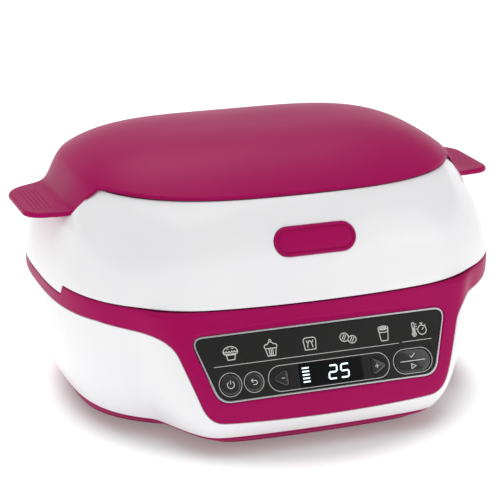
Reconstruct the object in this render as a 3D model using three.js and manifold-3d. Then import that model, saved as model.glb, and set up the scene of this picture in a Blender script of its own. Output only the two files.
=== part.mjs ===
// Countertop cake maker with a hinged lid, in millimetres, +Z up, the front facing -Y.
// The body is one smooth form: superellipse sections that swell up to the seam and draw in above it,
// with a console that grows out of the front.
import * as THREE from 'three';
import * as BufferGeometryUtils from 'three/addons/utils/BufferGeometryUtils.js';
import Module from 'manifold-3d';

const wasm = await Module();
wasm.setup();

// Cooking chamber, which the rest is built round
const CHAMBER = { halfX: 136, halfY: 98, corner: 44, y: -5 };

// Body form: the space round the chamber at the seam, and what the body loses above and below it
const SIDE_SPACE = 33.4;
const FRONT_SPACE = 31.5;
const REAR_SPACE = 27;
const UPPER_TAPER = { side: 21.9, front: 25.5, rear: 11, height: 69.5 };
const LOWER_TAPER = { side: 17.1, front: 17.5, rear: 11, height: 85.3 };
const SEAM_HALF_WIDTH = CHAMBER.halfX + SIDE_SPACE;
const SEAM_FRONT = CHAMBER.halfY - CHAMBER.y + FRONT_SPACE;
const SEAM_REAR = CHAMBER.halfY + CHAMBER.y + REAR_SPACE;
const SEAM_Z = 101.3;
const EDGE_HALF_WIDTH = SEAM_HALF_WIDTH - UPPER_TAPER.side;
const EDGE_FRONT = SEAM_FRONT - UPPER_TAPER.front;
const EDGE_REAR = SEAM_REAR - UPPER_TAPER.rear;
const EDGE_Z = SEAM_Z + UPPER_TAPER.height;
const WIDTH_POWER_SHARE = 3.8;
const DEPTH_POWER_SHARE = 2.9;
const EDGE_WIDTH_POWER_SHARE = 3.3;
const EDGE_DEPTH_POWER_SHARE = 2.6;
const WALL = 2.6;
const GAP = 0.3;
const SEAM_GAP = 0.6;
const OVERRUN = 60;
const MERGE_TOLERANCE = 0.0001;
// Where the points of a section lie across its half width, closer at the console's flanks and the corners
const FRONT_POINT_SHARES = [
  0, 0.22, 0.42, 0.51, 0.56, 0.6, 0.645, 0.7, 0.77, 0.84, 0.9, 0.95, 0.985, 1,
];
const REAR_POINT_SHARES = [0, 0.22, 0.42, 0.57, 0.69, 0.785, 0.86, 0.92, 0.965, 0.99];

// Seam between lid and base
const SEAM_RISE = 4.7;
const STEP_INSET = 40;
const STEP_Y = STEP_INSET - CHAMBER.halfY;
const STEP_RUN = 4;
const REAR_DROP = 2.5;
const REAR_SEAM_Z = SEAM_Z - REAR_DROP;
const BAND_DROP = 11.3;
const BAND_LOW_Z = SEAM_Z - BAND_DROP;

// Console at the front
const CONSOLE_DROP = 14.6;
const CONSOLE_OUT = 9.8;
const CONSOLE_CAP_OUT = 21.5;
const CONSOLE_Z = SEAM_Z - CONSOLE_DROP;
const CONSOLE_REACH = SEAM_FRONT + CONSOLE_OUT;
const CONSOLE_CAP = CONSOLE_REACH + CONSOLE_CAP_OUT;
const CONSOLE_LEAN_SHARE = 0.48;
const CONSOLE_BOW = 3.5;
const CONSOLE_HALF_WIDTH = 96;
const CONSOLE_FLARE_SHARE = 0.368;
const CONSOLE_FLARE_Z = 44.3;
const CONSOLE_FLANK_SHARE = 1.1;
const CONSOLE_FLANK_RUN = 33.3;
const CONSOLE_BLEND = 7;
const CONSOLE_CHIN_Z = 34;
const CONSOLE_CHIN_RUN = 45.5;
const BLEND_BACK = 30;
const BLEND_RISE = 10;
const FLANK_BLEND = 8;

// Outline of the coloured console frame, as seen from the front: how far out from the console's side
const FRAME = {
  armOut: 54,
  neckOut: 25,
  neckZ: 86.2,
  bendOut: 13,
  bendZ: 84,
  waistOut: 8.8,
  waistZ: 73.5,
  footOut: -2.6,
  footZ: 42,
  heelOut: -7,
  heelZ: 28.6,
  lowOut: -18,
  lowZ: 27.6,
  bottomZ: 25.7,
};

// Base shell and bottom cover
const SHELL_LOW_Z = 13;
const BASE_LEVEL_SHARES = [0, 0.102, 0.215, 0.351, 0.578, 0.849, 1, 1.09];
const BOTTOM = { low: 4, inset: 2.5, floorInset: 13, wall: 2.6, lip: 5, lipClear: 1.4 };
const SLOT = { length: 46, width: 4, pitch: 9, count: 5, round: 1.9, bankX: 36 };
const REAR_SLOT = { width: 4, height: 22, pitch: 9, count: 7, z: 34 };
const FOOT = { radius: 9, rim: 1.2, inset: 32, stem: 3.5, stemRise: 4.2 };
const BASE_SCREW = { insetX: 18, insetY: 58, head: 3.6, headHeight: 1.8, shank: 1.8, length: 14 };
const BRACKET = { width: 12, height: 7 };

// Cooking well and what hangs under it
const WELL = { floorShare: 0.94, floorZ: 40, sheet: 1.2, flange: 14, seatDrop: 5.3, bend: 8 };
const SEAT_Z = SEAM_Z - WELL.seatDrop;
const RIM_FLANGE = 2.6;
const TRAY = { clear: 3, lift: 4, sheet: 1.5, rim: 4.6, floorShare: 0.94 };
const LUG = {
  halfLength: 17, height: 11, round: 6, thick: 1.8, inset: 1, eyeHalf: 10, eyeLow: 4.4, eyeHigh: 7.8,
};
const ELEMENT = { tube: 6.5, clear: 1.2, insetX: 40, insetY: 38, corner: 30, terminalX: 16, tail: 13 };
const SHIELD = { out: 20, cornerOut: 10, sheet: 0.8, floorZ: 25, lip: 5, hole: 11 };
const SENSOR = { radius: 9, cap: 4, stem: 3.4, springRadius: 5.2, springWire: 1.1, springTurns: 4, seat: 14 };
const FUSE = { length: 22, radius: 4, x: 38 };
const POWER_BOARD = { insetX: 86, insetY: 46, length: 84, width: 58, thick: 1.6, post: 6, postRadius: 3.5 };
const RELAY = { length: 28, width: 12, height: 7.5 };
const CAPACITOR = { length: 26, width: 10, height: 7 };
const GLAND = { x: -92, z: 26, radius: 9, bore: 3.8, flange: 12.5, out: 9, thick: 2.5, tail: 7 };

// Control panel, in its own tilted frame
const PANEL = {
  out: 5.15, drop: 22.55, tilt: THREE.MathUtils.degToRad(64.3), topInset: 1.4, lowInset: 16, halfHeight: 22.2,
  corner: 8, thick: 3, trim: 1.3, trimProud: 0.4, bevelRun: 8, bevelOut: 6, bevelShare: 0.3, collar: 4.4,
  lip: 1.5, lipDepth: 2.6,
};
const POST = { radius: 3.2, inset: 18, y: 14 };
const BOARD = { drop: 12, thick: 1.6, margin: 9 };
const KEY = { proud: 0.7, clear: 0.35, travel: 0.6, rest: 0.15, skirt: 0.6, skirtThick: 1, stem: 2 };
const SWITCH = { side: 6, body: 3.2, tip: 1.6, tipHeight: 0.9 };
const PANEL_HALF = CONSOLE_HALF_WIDTH - PANEL.lowInset;
const POWER_KEY = { xShare: -0.8975, y: -11.5, radius: 7.2 };
const BACK_KEY = { xShare: -0.6825, y: -11.8, radius: 6.3 };
const MINUS_KEY = { xShare: -0.42, y: -11.7, triangle: 6.3, turn: Math.PI };
const PLUS_KEY = { xShare: 0.4725, y: -12, triangle: 6.3, turn: 0 };
const OK_KEY = { xShare: 0.815, y: -11.8, halfShare: 0.169, radius: 8.2 };
const KEYS = [
  { name: 'power_button', ...POWER_KEY },
  { name: 'back_button', ...BACK_KEY },
  { name: 'minus_button', ...MINUS_KEY },
  { name: 'plus_button', ...PLUS_KEY },
  { name: 'ok_button', ...OK_KEY },
];
const WINDOW = { xShare: 0.035, y: -12, halfShare: 0.294, halfY: 8.2, corner: 1.2, thick: 2, ledge: 1.2 };
const DISPLAY = { inset: 3.5, halfY: 6.6, thick: 5 };

// Lid
const COVER = {
  crown: 27, crownShare: 1.1, thick: 3.2, rise: 3, earOut: 36, earY: -1, earHalf: 28, earCorner: 9,
  flareRun: 44.5, flare: 22, flareShare: 2.5, earDrop: 16.2, earThick: 6.4, thickInset: 9.5, thickOut: 16.5,
  blend: 7, fall: 50, fallBend: 150,
};
const EAR_X = EDGE_HALF_WIDTH + COVER.earOut;
const CORNER_SHARES = [0, 0.34, 0.67, 1];
const FLARE_SHARES = [0.4, 0.62, 0.8, 0.93];
const DOME_SHARES = [0.94, 0.89, 0.81, 0.69, 0.54, 0.37, 0.19, 0];
const DOME_RING_SHARES = [0.34, 0.6, 0.79, 0.91, 0.98];
const EAR_RING_SHARES = [0.22, 0.5, 1];
const LEDGE = {
  insetX: 21.5, insetY: 23, powerShare: 4, thick: 2.4, clear: 3.6, edgeClear: 1.2, fallShare: 8,
};
const LEDGE_SHARES = [0, 0.14, 0.45, 1];
const LID_LEVEL_SHARES = [0, 0.35, 0.65, 0.87, 1];
const INNER_LEVEL_SHARES = [0, 0.6, 1];
const EAR_START_SHARE = 0.7;
const EAR_Y_SHARES = [1, 1.2, 1.4, 1.65];
const ANGLE_MERGE_SHARE = 0.004;
const LID_FRAME = { out: 3, powerShare: 6, thick: 2.2, rise: 4.4 };
const LID_FRAME_Z = SEAM_Z + LID_FRAME.rise;
const LINER = { flange: 15, sheet: 1, height: 42.3, roofShare: 0.84, bend: 9 };
const ROOF_Z = LID_FRAME_Z + LINER.height;
const SEAL = { width: 5.5, out: 7.3, groove: 1.4 };
const LID_ELEMENT = { insetX: 52, insetY: 48, corner: 28, terminalX: 16, tail: 12 };
const REFLECTOR = { out: 16, sheet: 0.8, height: 13, lip: 6, cornerOut: 6 };
const LID_SENSOR = { radius: 8, height: 6 };
const BADGE = {
  halfX: 30.5, halfY: 10.4, thick: 3.2, sunk: 1.2, bevel: 0.8, inset: 1.25, rise: 42.1, lean: 22.8,
};
const LID_SCREW = { xShare: 0.6, inset: 1.3, head: 2.8, headHeight: 1.6, shank: 1.5, length: 7 };

// Hinges at the rear
const HINGE = {
  x: 72, out: 7.5, drop: 2.2, barrel: 4.6, pin: 1.9, lidWidth: 20, sideWidth: 8, play: 0.4, leafUp: 21,
  leafDown: 14, leafCurveShare: 0.55, round: 0.9, plateLow: 19, plateHigh: 8, plateOut: 2.4, plateRound: 3,
  head: 2.6, headLong: 1.4,
};
const HINGE_Y = SEAM_REAR + HINGE.out;
const HINGE_Z = REAR_SEAM_Z - HINGE.drop;

const MATERIALS = {
  white: { color: '#f3f3f4', roughness: 0.3, metalness: 0 },
  berry: { color: '#a80f4e', roughness: 0.38, metalness: 0 },
  panel: { color: '#2b2c2f', roughness: 0.35, metalness: 0 },
  key: { color: '#17181a', roughness: 0.18, metalness: 0 },
  glass: { color: '#0c0d10', roughness: 0.08, metalness: 0 },
  trim: { color: '#c9cbce', roughness: 0.25, metalness: 0.9 },
  rubber: { color: '#2a2a2b', roughness: 0.85, metalness: 0 },
  coated: { color: '#3a3b3d', roughness: 0.45, metalness: 0.35 },
  steel: { color: '#b9bcc0', roughness: 0.3, metalness: 0.95 },
  sheet: { color: '#cfd2d4', roughness: 0.4, metalness: 0.9 },
  heater: { color: '#55504b', roughness: 0.55, metalness: 0.7 },
  silicone: { color: '#5a5c60', roughness: 0.7, metalness: 0 },
  board: { color: '#1f6b43', roughness: 0.5, metalness: 0 },
  dark: { color: '#1d1e20', roughness: 0.5, metalness: 0 },
  relay: { color: '#2b5fa8', roughness: 0.4, metalness: 0 },
  light: { color: '#d7f3f7', roughness: 0.4, metalness: 0 },
};

const product = new THREE.Group();
const panelGroup = new THREE.Group();
panelGroup.position.set(0, -CONSOLE_REACH - PANEL.out, CONSOLE_Z - PANEL.drop);
panelGroup.rotation.x = PANEL.tilt;
panelGroup.updateMatrixWorld(true);
product.add(panelGroup);

// Small helpers

function addMesh(name, geometry, materialName, parent = product) {
  const material = new THREE.MeshStandardMaterial(MATERIALS[materialName]);
  material.name = materialName;
  const mesh = new THREE.Mesh(geometry, material);
  mesh.name = name;
  parent.add(mesh);
  return mesh;
}

function toSolid(geometry) {
  const bare = geometry.clone();
  bare.deleteAttribute('normal');
  bare.deleteAttribute('uv');
  const merged = BufferGeometryUtils.mergeVertices(bare, MERGE_TOLERANCE);
  const triVerts = new Uint32Array(merged.index.array);
  const vertProperties = new Float32Array(merged.attributes.position.array);
  return new wasm.Manifold(new wasm.Mesh({ numProp: 3, vertProperties, triVerts }));
}

function toGeometry(solid) {
  const data = solid.getMesh();
  const geometry = new THREE.BufferGeometry();
  geometry.setAttribute('position', new THREE.BufferAttribute(new Float32Array(data.vertProperties), 3));
  geometry.setIndex(new THREE.BufferAttribute(new Uint32Array(data.triVerts), 1));
  const flat = geometry.toNonIndexed();
  flat.computeVertexNormals();
  return flat;
}

function moved(geometry, x, y, z) {
  return geometry.clone().translate(x, y, z);
}

function softAbove(value, blend) {
  return (value + Math.sqrt(value * value + blend * blend)) / 2;
}

function smoothMax(a, b, blend) {
  return b + softAbove(a - b, blend);
}

function smoothStep(value) {
  const t = Math.min(Math.max(value, 0), 1);
  return t * t * (3 - 2 * t);
}

function mix(a, b, share) {
  return a + (b - a) * share;
}

function spread(from, to, steps) {
  return Array.from({ length: steps + 1 }, (_, i) => mix(from, to, i / steps));
}

// A closed body from loops of equal length: capped at both ends, or joined end to end.
// Each face is split along one way round, or along its shorter diagonal where the form bends sharply.
function loft(loops, ringed = false, shorter = false) {
  const count = loops[0].length;
  const places = loops.flat();
  const positions = places.flatMap((p) => [p[0], p[1], p[2]]);
  const apart = (a, b) => Math.hypot(...places[a].map((value, axis) => value - places[b][axis]));
  const index = [];
  const last = ringed ? loops.length : loops.length - 1;
  for (let row = 0; row < last; row += 1) {
    const next = (row + 1) % loops.length;
    for (let i = 0; i < count; i += 1) {
      const j = (i + 1) % count;
      const a = row * count + i;
      const b = row * count + j;
      const c = next * count + j;
      const d = next * count + i;
      if (shorter && apart(b, d) < apart(a, c)) {
        index.push(a, b, d, b, c, d);
      } else {
        index.push(a, b, c, a, c, d);
      }
    }
  }
  if (!ringed) {
    for (const row of [0, loops.length - 1]) {
      const centre = positions.length / 3;
      const sum = loops[row].reduce((s, p) => [s[0] + p[0], s[1] + p[1], s[2] + p[2]], [0, 0, 0]);
      positions.push(sum[0] / count, sum[1] / count, sum[2] / count);
      for (let i = 0; i < count; i += 1) {
        const a = row * count + i;
        const b = row * count + ((i + 1) % count);
        index.push(...(row === 0 ? [centre, b, a] : [centre, a, b]));
      }
    }
  }
  const geometry = new THREE.BufferGeometry();
  geometry.setAttribute('position', new THREE.Float32BufferAttribute(positions, 3));
  geometry.setIndex(index);
  const flat = geometry.toNonIndexed();
  flat.computeVertexNormals();
  return flat;
}

// A rounded rectangle as a loop of points, counter-clockwise from above
function roundedLoop(halfX, halfY, corner, z, centreY = 0, steps = 4) {
  const radius = Math.min(corner, halfX, halfY);
  const points = [];
  for (const [sx, sy, start] of [[1, 1, 0], [-1, 1, 1], [-1, -1, 2], [1, -1, 3]]) {
    for (const t of spread(0, 1, steps)) {
      const angle = (start + t) * Math.PI / 2;
      const x = sx * (halfX - radius) + radius * Math.cos(angle);
      const y = sy * (halfY - radius) + radius * Math.sin(angle);
      points.push([x, centreY + y, z]);
    }
  }
  return points;
}

function roundedShape(halfX, halfY, corner) {
  const shape = new THREE.Shape();
  const points = roundedLoop(halfX, halfY, corner, 0, 0, 2);
  shape.setFromPoints(points.map((p) => new THREE.Vector2(p[0], p[1])));
  return shape;
}

function slab(shape, low, high, bevel = 0, segments = 5) {
  const settings = bevel > 0
    ? { bevelEnabled: true, bevelSize: bevel, bevelOffset: -bevel, bevelThickness: bevel, bevelSegments: 1 }
    : { bevelEnabled: false };
  const depth = high - low - 2 * bevel;
  const geometry = new THREE.ExtrudeGeometry(shape, { depth, curveSegments: segments, ...settings });
  return geometry.translate(0, 0, low + bevel);
}

function rod(radius, low, high, sides = 14) {
  const geometry = new THREE.CylinderGeometry(radius, radius, high - low, sides);
  return geometry.rotateX(Math.PI / 2).translate(0, 0, (low + high) / 2);
}

function block(x0, x1, y0, y1, z0, z1) {
  const geometry = new THREE.BoxGeometry(x1 - x0, y1 - y0, z1 - z0);
  return geometry.translate((x0 + x1) / 2, (y0 + y1) / 2, (z0 + z1) / 2);
}

// A solid under a surface z = top(x, y), over a grid
function underSurface(xs, ys, top, bottomZ) {
  const positions = [];
  for (const level of [top, () => bottomZ]) {
    for (const y of ys) {
      for (const x of xs) {
        positions.push(x, y, level(x, y));
      }
    }
  }
  const nx = xs.length;
  const ny = ys.length;
  const under = nx * ny;
  const index = [];
  for (let j = 0; j < ny - 1; j += 1) {
    for (let i = 0; i < nx - 1; i += 1) {
      const a = j * nx + i;
      const b = a + 1;
      const c = a + nx + 1;
      const d = a + nx;
      index.push(a, b, c, a, c, d);
      index.push(under + a, under + c, under + b, under + a, under + d, under + c);
    }
  }
  const side = (a, b) => index.push(a, under + a, under + b, a, under + b, b);
  for (let i = 0; i < nx - 1; i += 1) {
    side(i, i + 1);
    side((ny - 1) * nx + i + 1, (ny - 1) * nx + i);
  }
  for (let j = 0; j < ny - 1; j += 1) {
    side((j + 1) * nx, j * nx);
    side(j * nx + nx - 1, (j + 1) * nx + nx - 1);
  }
  const geometry = new THREE.BufferGeometry();
  geometry.setAttribute('position', new THREE.Float32BufferAttribute(positions, 3));
  geometry.setIndex(index);
  return geometry.toNonIndexed();
}

// The body's form

function halfSizes(z) {
  const up = Math.max((z - SEAM_Z) / UPPER_TAPER.height, 0);
  const down = Math.max((SEAM_Z - z) / LOWER_TAPER.height, 0);
  const above = z >= SEAM_Z;
  return {
    width: SEAM_HALF_WIDTH - (above ? UPPER_TAPER.side * up ** 1.5 : LOWER_TAPER.side * down ** 1.9),
    front: SEAM_FRONT - (above ? UPPER_TAPER.front * up ** 3 : LOWER_TAPER.front * down ** 1.6),
    rear: SEAM_REAR - (above ? UPPER_TAPER.rear * up ** 2.2 : LOWER_TAPER.rear * down ** 1.8),
    widthPower: mix(WIDTH_POWER_SHARE, EDGE_WIDTH_POWER_SHARE, Math.min(up, 1)),
    depthPower: mix(DEPTH_POWER_SHARE, EDGE_DEPTH_POWER_SHARE, Math.min(up, 1)),
  };
}

// How far forward the console stands at a height, beside the middle
function consoleReach(x, z, inset) {
  const line = CONSOLE_REACH + CONSOLE_LEAN_SHARE * (CONSOLE_Z - z);
  const tuck = softAbove(CONSOLE_CHIN_Z - z, CONSOLE_BLEND) ** 2 / CONSOLE_CHIN_RUN;
  const capped = line - softAbove(line - CONSOLE_CAP + tuck, CONSOLE_BLEND);
  const width = CONSOLE_HALF_WIDTH + CONSOLE_FLARE_SHARE * (z - CONSOLE_FLARE_Z) - inset;
  const beyond = softAbove(Math.abs(x) - width, FLANK_BLEND);
  const flank = CONSOLE_FLANK_SHARE * beyond + beyond * beyond / CONSOLE_FLANK_RUN;
  return capped - CONSOLE_BOW * (x / CONSOLE_HALF_WIDTH) ** 2 - flank - inset;
}

function bodyPoint(angle, z, inset = 0) {
  const half = halfSizes(z);
  const c = Math.cos(angle);
  const s = Math.sin(angle);
  const x = (half.width - inset) * Math.sign(c) * Math.abs(c) ** (2 / half.widthPower);
  const swing = Math.abs(s) ** (2 / half.depthPower);
  if (s > 0) {
    return [x, (half.rear - inset) * swing, z];
  }
  const front = (half.front - inset) * swing;
  const reach = smoothMax(front, consoleReach(x, z, inset), CONSOLE_BLEND);
  const blend = smoothStep(front / BLEND_BACK) * smoothStep((SEAM_Z + FLANK_BLEND - z) / BLEND_RISE);
  return [x, -(front + (reach - front) * blend), z];
}

function angleAt(share) {
  return Math.acos(share ** (WIDTH_POWER_SHARE / 2));
}

const rearAngles = REAR_POINT_SHARES.map(angleAt);
const frontAngles = FRONT_POINT_SHARES.map(angleAt);
const bodyAngles = [
  ...rearAngles.slice().reverse(),
  ...rearAngles.slice(1).map((a) => Math.PI - a),
  ...frontAngles.slice().reverse().map((a) => Math.PI + a),
  ...frontAngles.slice(1, -1).map((a) => 2 * Math.PI - a),
  2 * Math.PI,
];

function bodyLoop(z, inset = 0) {
  return bodyAngles.map((angle) => bodyPoint(angle, z, inset));
}

function bodySolid(levels, inset = 0) {
  return toSolid(loft(levels.map((z) => bodyLoop(z, inset))));
}

function seamZ(x, y) {
  const front = SEAM_Z + SEAM_RISE * (x / SEAM_HALF_WIDTH) ** 2;
  return mix(front, REAR_SEAM_Z, smoothStep((y - STEP_Y) / STEP_RUN + 1 / 2));
}

function belowSeam(shift) {
  const wide = SEAM_HALF_WIDTH + OVERRUN;
  const xs = spread(-wide, wide, 12);
  const half = STEP_RUN / 2;
  const ys = [-wide, STEP_Y - half, STEP_Y - half / 2, STEP_Y, STEP_Y + half / 2, STEP_Y + half, wide];
  return toSolid(underSurface(xs, ys, (x, y) => seamZ(x, y) + shift, -OVERRUN));
}

// A prism that runs along Y, from an outline drawn as seen from the front
function frontPrism(shape, yFront, yRear) {
  const depth = yRear - yFront;
  const geometry = new THREE.ExtrudeGeometry(shape, { depth, bevelEnabled: false, curveSegments: 6 });
  return toSolid(geometry.rotateX(Math.PI / 2).translate(0, yRear, 0));
}

// The console frame's outline, grown by a gap all round
function frameRegion(grow) {
  const f = FRAME;
  const top = SEAM_Z + OVERRUN;
  const shape = new THREE.Shape();
  const right = (out, z) => [CONSOLE_HALF_WIDTH + out + grow, z - grow];
  const left = (out, z) => [-CONSOLE_HALF_WIDTH - out - grow, z - grow];
  const lowMiddle = (CONSOLE_HALF_WIDTH + f.lowOut) / 2;
  shape.moveTo(0, f.bottomZ - grow);
  shape.quadraticCurveTo(lowMiddle, f.bottomZ - grow, ...right(f.lowOut, f.lowZ));
  shape.quadraticCurveTo(...right(f.heelOut, f.heelZ), ...right(f.footOut, f.footZ));
  shape.lineTo(...right(f.waistOut, f.waistZ));
  shape.quadraticCurveTo(...right(f.bendOut, f.bendZ), ...right(f.neckOut, f.neckZ));
  shape.lineTo(...right(f.armOut, BAND_LOW_Z));
  shape.lineTo(...right(f.armOut, top));
  shape.lineTo(...left(f.armOut, top));
  shape.lineTo(...left(f.armOut, BAND_LOW_Z));
  shape.lineTo(...left(f.neckOut, f.neckZ));
  shape.quadraticCurveTo(...left(f.bendOut, f.bendZ), ...left(f.waistOut, f.waistZ));
  shape.lineTo(...left(f.footOut, f.footZ));
  shape.quadraticCurveTo(...left(f.heelOut, f.heelZ), ...left(f.lowOut, f.lowZ));
  shape.quadraticCurveTo(-lowMiddle, f.bottomZ - grow, 0, f.bottomZ - grow);
  const reach = SEAM_HALF_WIDTH + OVERRUN;
  const console = frontPrism(shape, -reach, STEP_Y);
  const band = toSolid(block(-reach, reach, -reach, reach, BAND_LOW_Z - grow, top));
  return console.add(band);
}

// A trapezoid with round corners in the panel's frame
function panelShape(grow) {
  const p = PANEL;
  const topHalf = CONSOLE_HALF_WIDTH - p.topInset + grow;
  const lowHalf = PANEL_HALF + grow;
  const high = p.halfHeight + grow;
  const corners = [
    [topHalf, high],
    [-topHalf, high],
    [-lowHalf, -high],
    [lowHalf, -high],
  ].map(([x, y]) => new THREE.Vector2(x, y));
  const radius = p.corner + Math.max(grow, -p.corner / 2);
  const points = [];
  corners.forEach((corner, i) => {
    const before = corners[(i + 3) % 4].clone().sub(corner).normalize();
    const after = corners[(i + 1) % 4].clone().sub(corner).normalize();
    const curve = new THREE.QuadraticBezierCurve(
      corner.clone().addScaledVector(before, radius),
      corner,
      corner.clone().addScaledVector(after, radius),
    );
    points.push(...curve.getPoints(4));
  });
  return points;
}

function panelLoop(grow, z) {
  return panelShape(grow).map((p) => [p.x, p.y, z]);
}

function panelOutline(grow) {
  return new THREE.Shape().setFromPoints(panelShape(grow));
}

function inPanelFrame(geometry) {
  return geometry.clone().applyMatrix4(panelGroup.matrixWorld);
}

const baseLevels = BASE_LEVEL_SHARES.map((share) => mix(SHELL_LOW_Z, SEAM_Z, share));
const lidLevels = LID_LEVEL_SHARES.map((share) => mix(REAR_SEAM_Z - HINGE.drop, EDGE_Z, share));

const baseOuter = bodySolid(baseLevels);
const baseInner = bodySolid([SHELL_LOW_Z - WALL, ...baseLevels.slice(1), SEAM_Z + OVERRUN], WALL);

// Base

function buildBaseShell() {
  let shell = baseOuter.subtract(baseInner).subtract(frameRegion(GAP));
  const span = REAR_SLOT.pitch * (REAR_SLOT.count - 1);
  for (const x of spread(-span / 2, span / 2, REAR_SLOT.count - 1)) {
    const low = REAR_SLOT.z;
    const cut = block(
      x - REAR_SLOT.width / 2, x + REAR_SLOT.width / 2, 0, SEAM_REAR + WALL, low, low + REAR_SLOT.height,
    );
    shell = shell.subtract(toSolid(cut));
  }
  const gland = rod(GLAND.radius + GAP, 0, SEAM_REAR + WALL, 14).rotateX(-Math.PI / 2);
  shell = shell.subtract(toSolid(moved(gland, GLAND.x, 0, GLAND.z)));
  for (const [x, y] of screwPlaces()) {
    const bracket = baseOuter.intersect(bracketBody(x, y, SHELL_LOW_Z + GAP, 0));
    const pilot = rod(BASE_SCREW.shank + GAP / 2, SHELL_LOW_Z, BOTTOM.low + BASE_SCREW.length + WALL, 8);
    shell = shell.add(bracket).subtract(toSolid(moved(pilot, x, y, 0)));
  }
  addMesh('base_shell', toGeometry(shell), 'white');
}

// A shelf from a screw out to the side wall, which the screw bites into
function bracketBody(x, y, low, grow) {
  const side = Math.sign(x);
  const half = BRACKET.width / 2 + grow;
  const inner = x - side * half;
  const outer = side * SEAM_HALF_WIDTH;
  const high = low + BRACKET.height + grow;
  return toSolid(block(Math.min(inner, outer), Math.max(inner, outer), y - half, y + half, low, high));
}

function buildRimFrame() {
  const ring = baseOuter.subtract(baseInner).intersect(frameRegion(0));
  const mouth = chamberLoop(GAP, 0);
  const low = SEAT_Z - RIM_FLANGE;
  const flangeBody = baseOuter.intersect(toSolid(block(
    -SEAM_HALF_WIDTH, SEAM_HALF_WIDTH, -SEAM_HALF_WIDTH, SEAM_HALF_WIDTH, low, SEAT_Z,
  )));
  const hole = toSolid(loft([low - WALL, SEAT_Z + WALL].map((z) => mouth.map((p) => [p[0], p[1], z]))));
  const flange = flangeBody.subtract(hole);
  const p = PANEL;
  const collarBlock = toSolid(inPanelFrame(slab(
    panelOutline(p.trim + p.collar + p.bevelOut / 2), -p.thick - p.lipDepth - GAP, p.bevelRun + p.bevelOut,
  )));
  const collar = baseOuter.intersect(collarBlock).intersect(frameRegion(0));
  const seat = p.trim + 2 * GAP;
  const recess = toSolid(inPanelFrame(loft([
    panelLoop(seat, -p.thick - GAP),
    panelLoop(seat, 0),
    panelLoop(seat + p.bevelOut * p.bevelShare, p.bevelRun / 2),
    panelLoop(seat + p.bevelOut, p.bevelRun + WALL),
  ])));
  const through = toSolid(inPanelFrame(slab(panelOutline(-p.lip), -p.thick - OVERRUN, 0)));
  let frame = ring.add(flange).add(collar).subtract(recess).subtract(through);
  frame = frame.intersect(belowSeam(-SEAM_GAP / 2));
  addMesh('rim_and_console_frame', toGeometry(frame), 'berry');
}

function bottomLoop(z, inset) {
  const rise = Math.min((z - BOTTOM.low) / (SHELL_LOW_Z - BOTTOM.low), 1);
  const tuck = BOTTOM.inset + (BOTTOM.floorInset - BOTTOM.inset) * (1 - rise) ** 2;
  return bodyLoop(SHELL_LOW_Z, tuck + inset).map((p) => [p[0], p[1], z]);
}

function buildBottomCover() {
  const b = BOTTOM;
  const top = SHELL_LOW_Z + b.lip;
  const lipIn = WALL + b.lipClear;
  const lipLoop = (inset, z) => bodyLoop(SHELL_LOW_Z, lipIn + inset).map((p) => [p[0], p[1], z]);
  const mid = (b.low + SHELL_LOW_Z) / 2;
  const outerLoops = [bottomLoop(b.low, 0), bottomLoop(mid - b.wall / 2, 0)];
  outerLoops.push(bottomLoop(SHELL_LOW_Z - GAP, 0), lipLoop(0, SHELL_LOW_Z - GAP), lipLoop(0, top));
  const hollowLoops = [bottomLoop(b.low, b.wall + b.inset).map((p) => [p[0], p[1], b.low + b.wall])];
  hollowLoops.push(lipLoop(b.wall, SHELL_LOW_Z), lipLoop(b.wall, top + b.wall));
  let cover = toSolid(loft(outerLoops)).subtract(toSolid(loft(hollowLoops)));
  for (const side of [-1, 1]) {
    for (let i = 0; i < SLOT.count; i += 1) {
      const y = CHAMBER.y + (i - (SLOT.count - 1) / 2) * SLOT.pitch;
      const shape = roundedShape(SLOT.length / 2, SLOT.width / 2, SLOT.round);
      const cut = slab(shape, 0, b.low + b.wall + b.inset);
      cover = cover.subtract(toSolid(moved(cut, side * SLOT.bankX, y, 0)));
    }
  }
  for (const [x, y] of footPlaces()) {
    cover = cover.subtract(toSolid(moved(rod(FOOT.stem + GAP, 0, b.low + b.wall * 2, 8), x, y, 0)));
  }
  for (const [x, y] of screwPlaces()) {
    const boss = rod(BASE_SCREW.head + WALL, b.low, SHELL_LOW_Z, 10);
    const shankHole = rod(BASE_SCREW.shank + GAP, 0, OVERRUN, 8);
    const headHole = rod(BASE_SCREW.head + GAP, 0, b.low + WALL, 8);
    cover = cover.add(toSolid(moved(boss, x, y, 0)));
    cover = cover.subtract(toSolid(moved(shankHole, x, y, 0)));
    cover = cover.subtract(toSolid(moved(headHole, x, y, 0)));
    cover = cover.subtract(bracketBody(x, y, SHELL_LOW_Z, GAP * 2));
  }
  for (const [x, y] of boardPosts()) {
    const post = rod(POWER_BOARD.postRadius, b.low + b.wall / 2, b.low + b.wall + POWER_BOARD.post, 8);
    cover = cover.add(toSolid(moved(post, x, y, 0)));
  }
  addMesh('bottom_cover', toGeometry(cover), 'berry');
}

// Four places, front left first and round to the rear left, about the chamber's middle
function fourPlaces(halfX, halfY) {
  return [[-1, -1], [1, -1], [1, 1], [-1, 1]].map(([sx, sy]) => [sx * halfX, CHAMBER.y + sy * halfY]);
}

function footPlaces() {
  return fourPlaces(CHAMBER.halfX - FOOT.inset, CHAMBER.halfY - FOOT.inset);
}

function screwPlaces() {
  return fourPlaces(CHAMBER.halfX - BASE_SCREW.insetX, CHAMBER.halfY - BASE_SCREW.insetY);
}

// The middle of the power board
function boardMiddle() {
  return [CHAMBER.halfX - POWER_BOARD.insetX, CHAMBER.halfY - POWER_BOARD.insetY];
}

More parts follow.
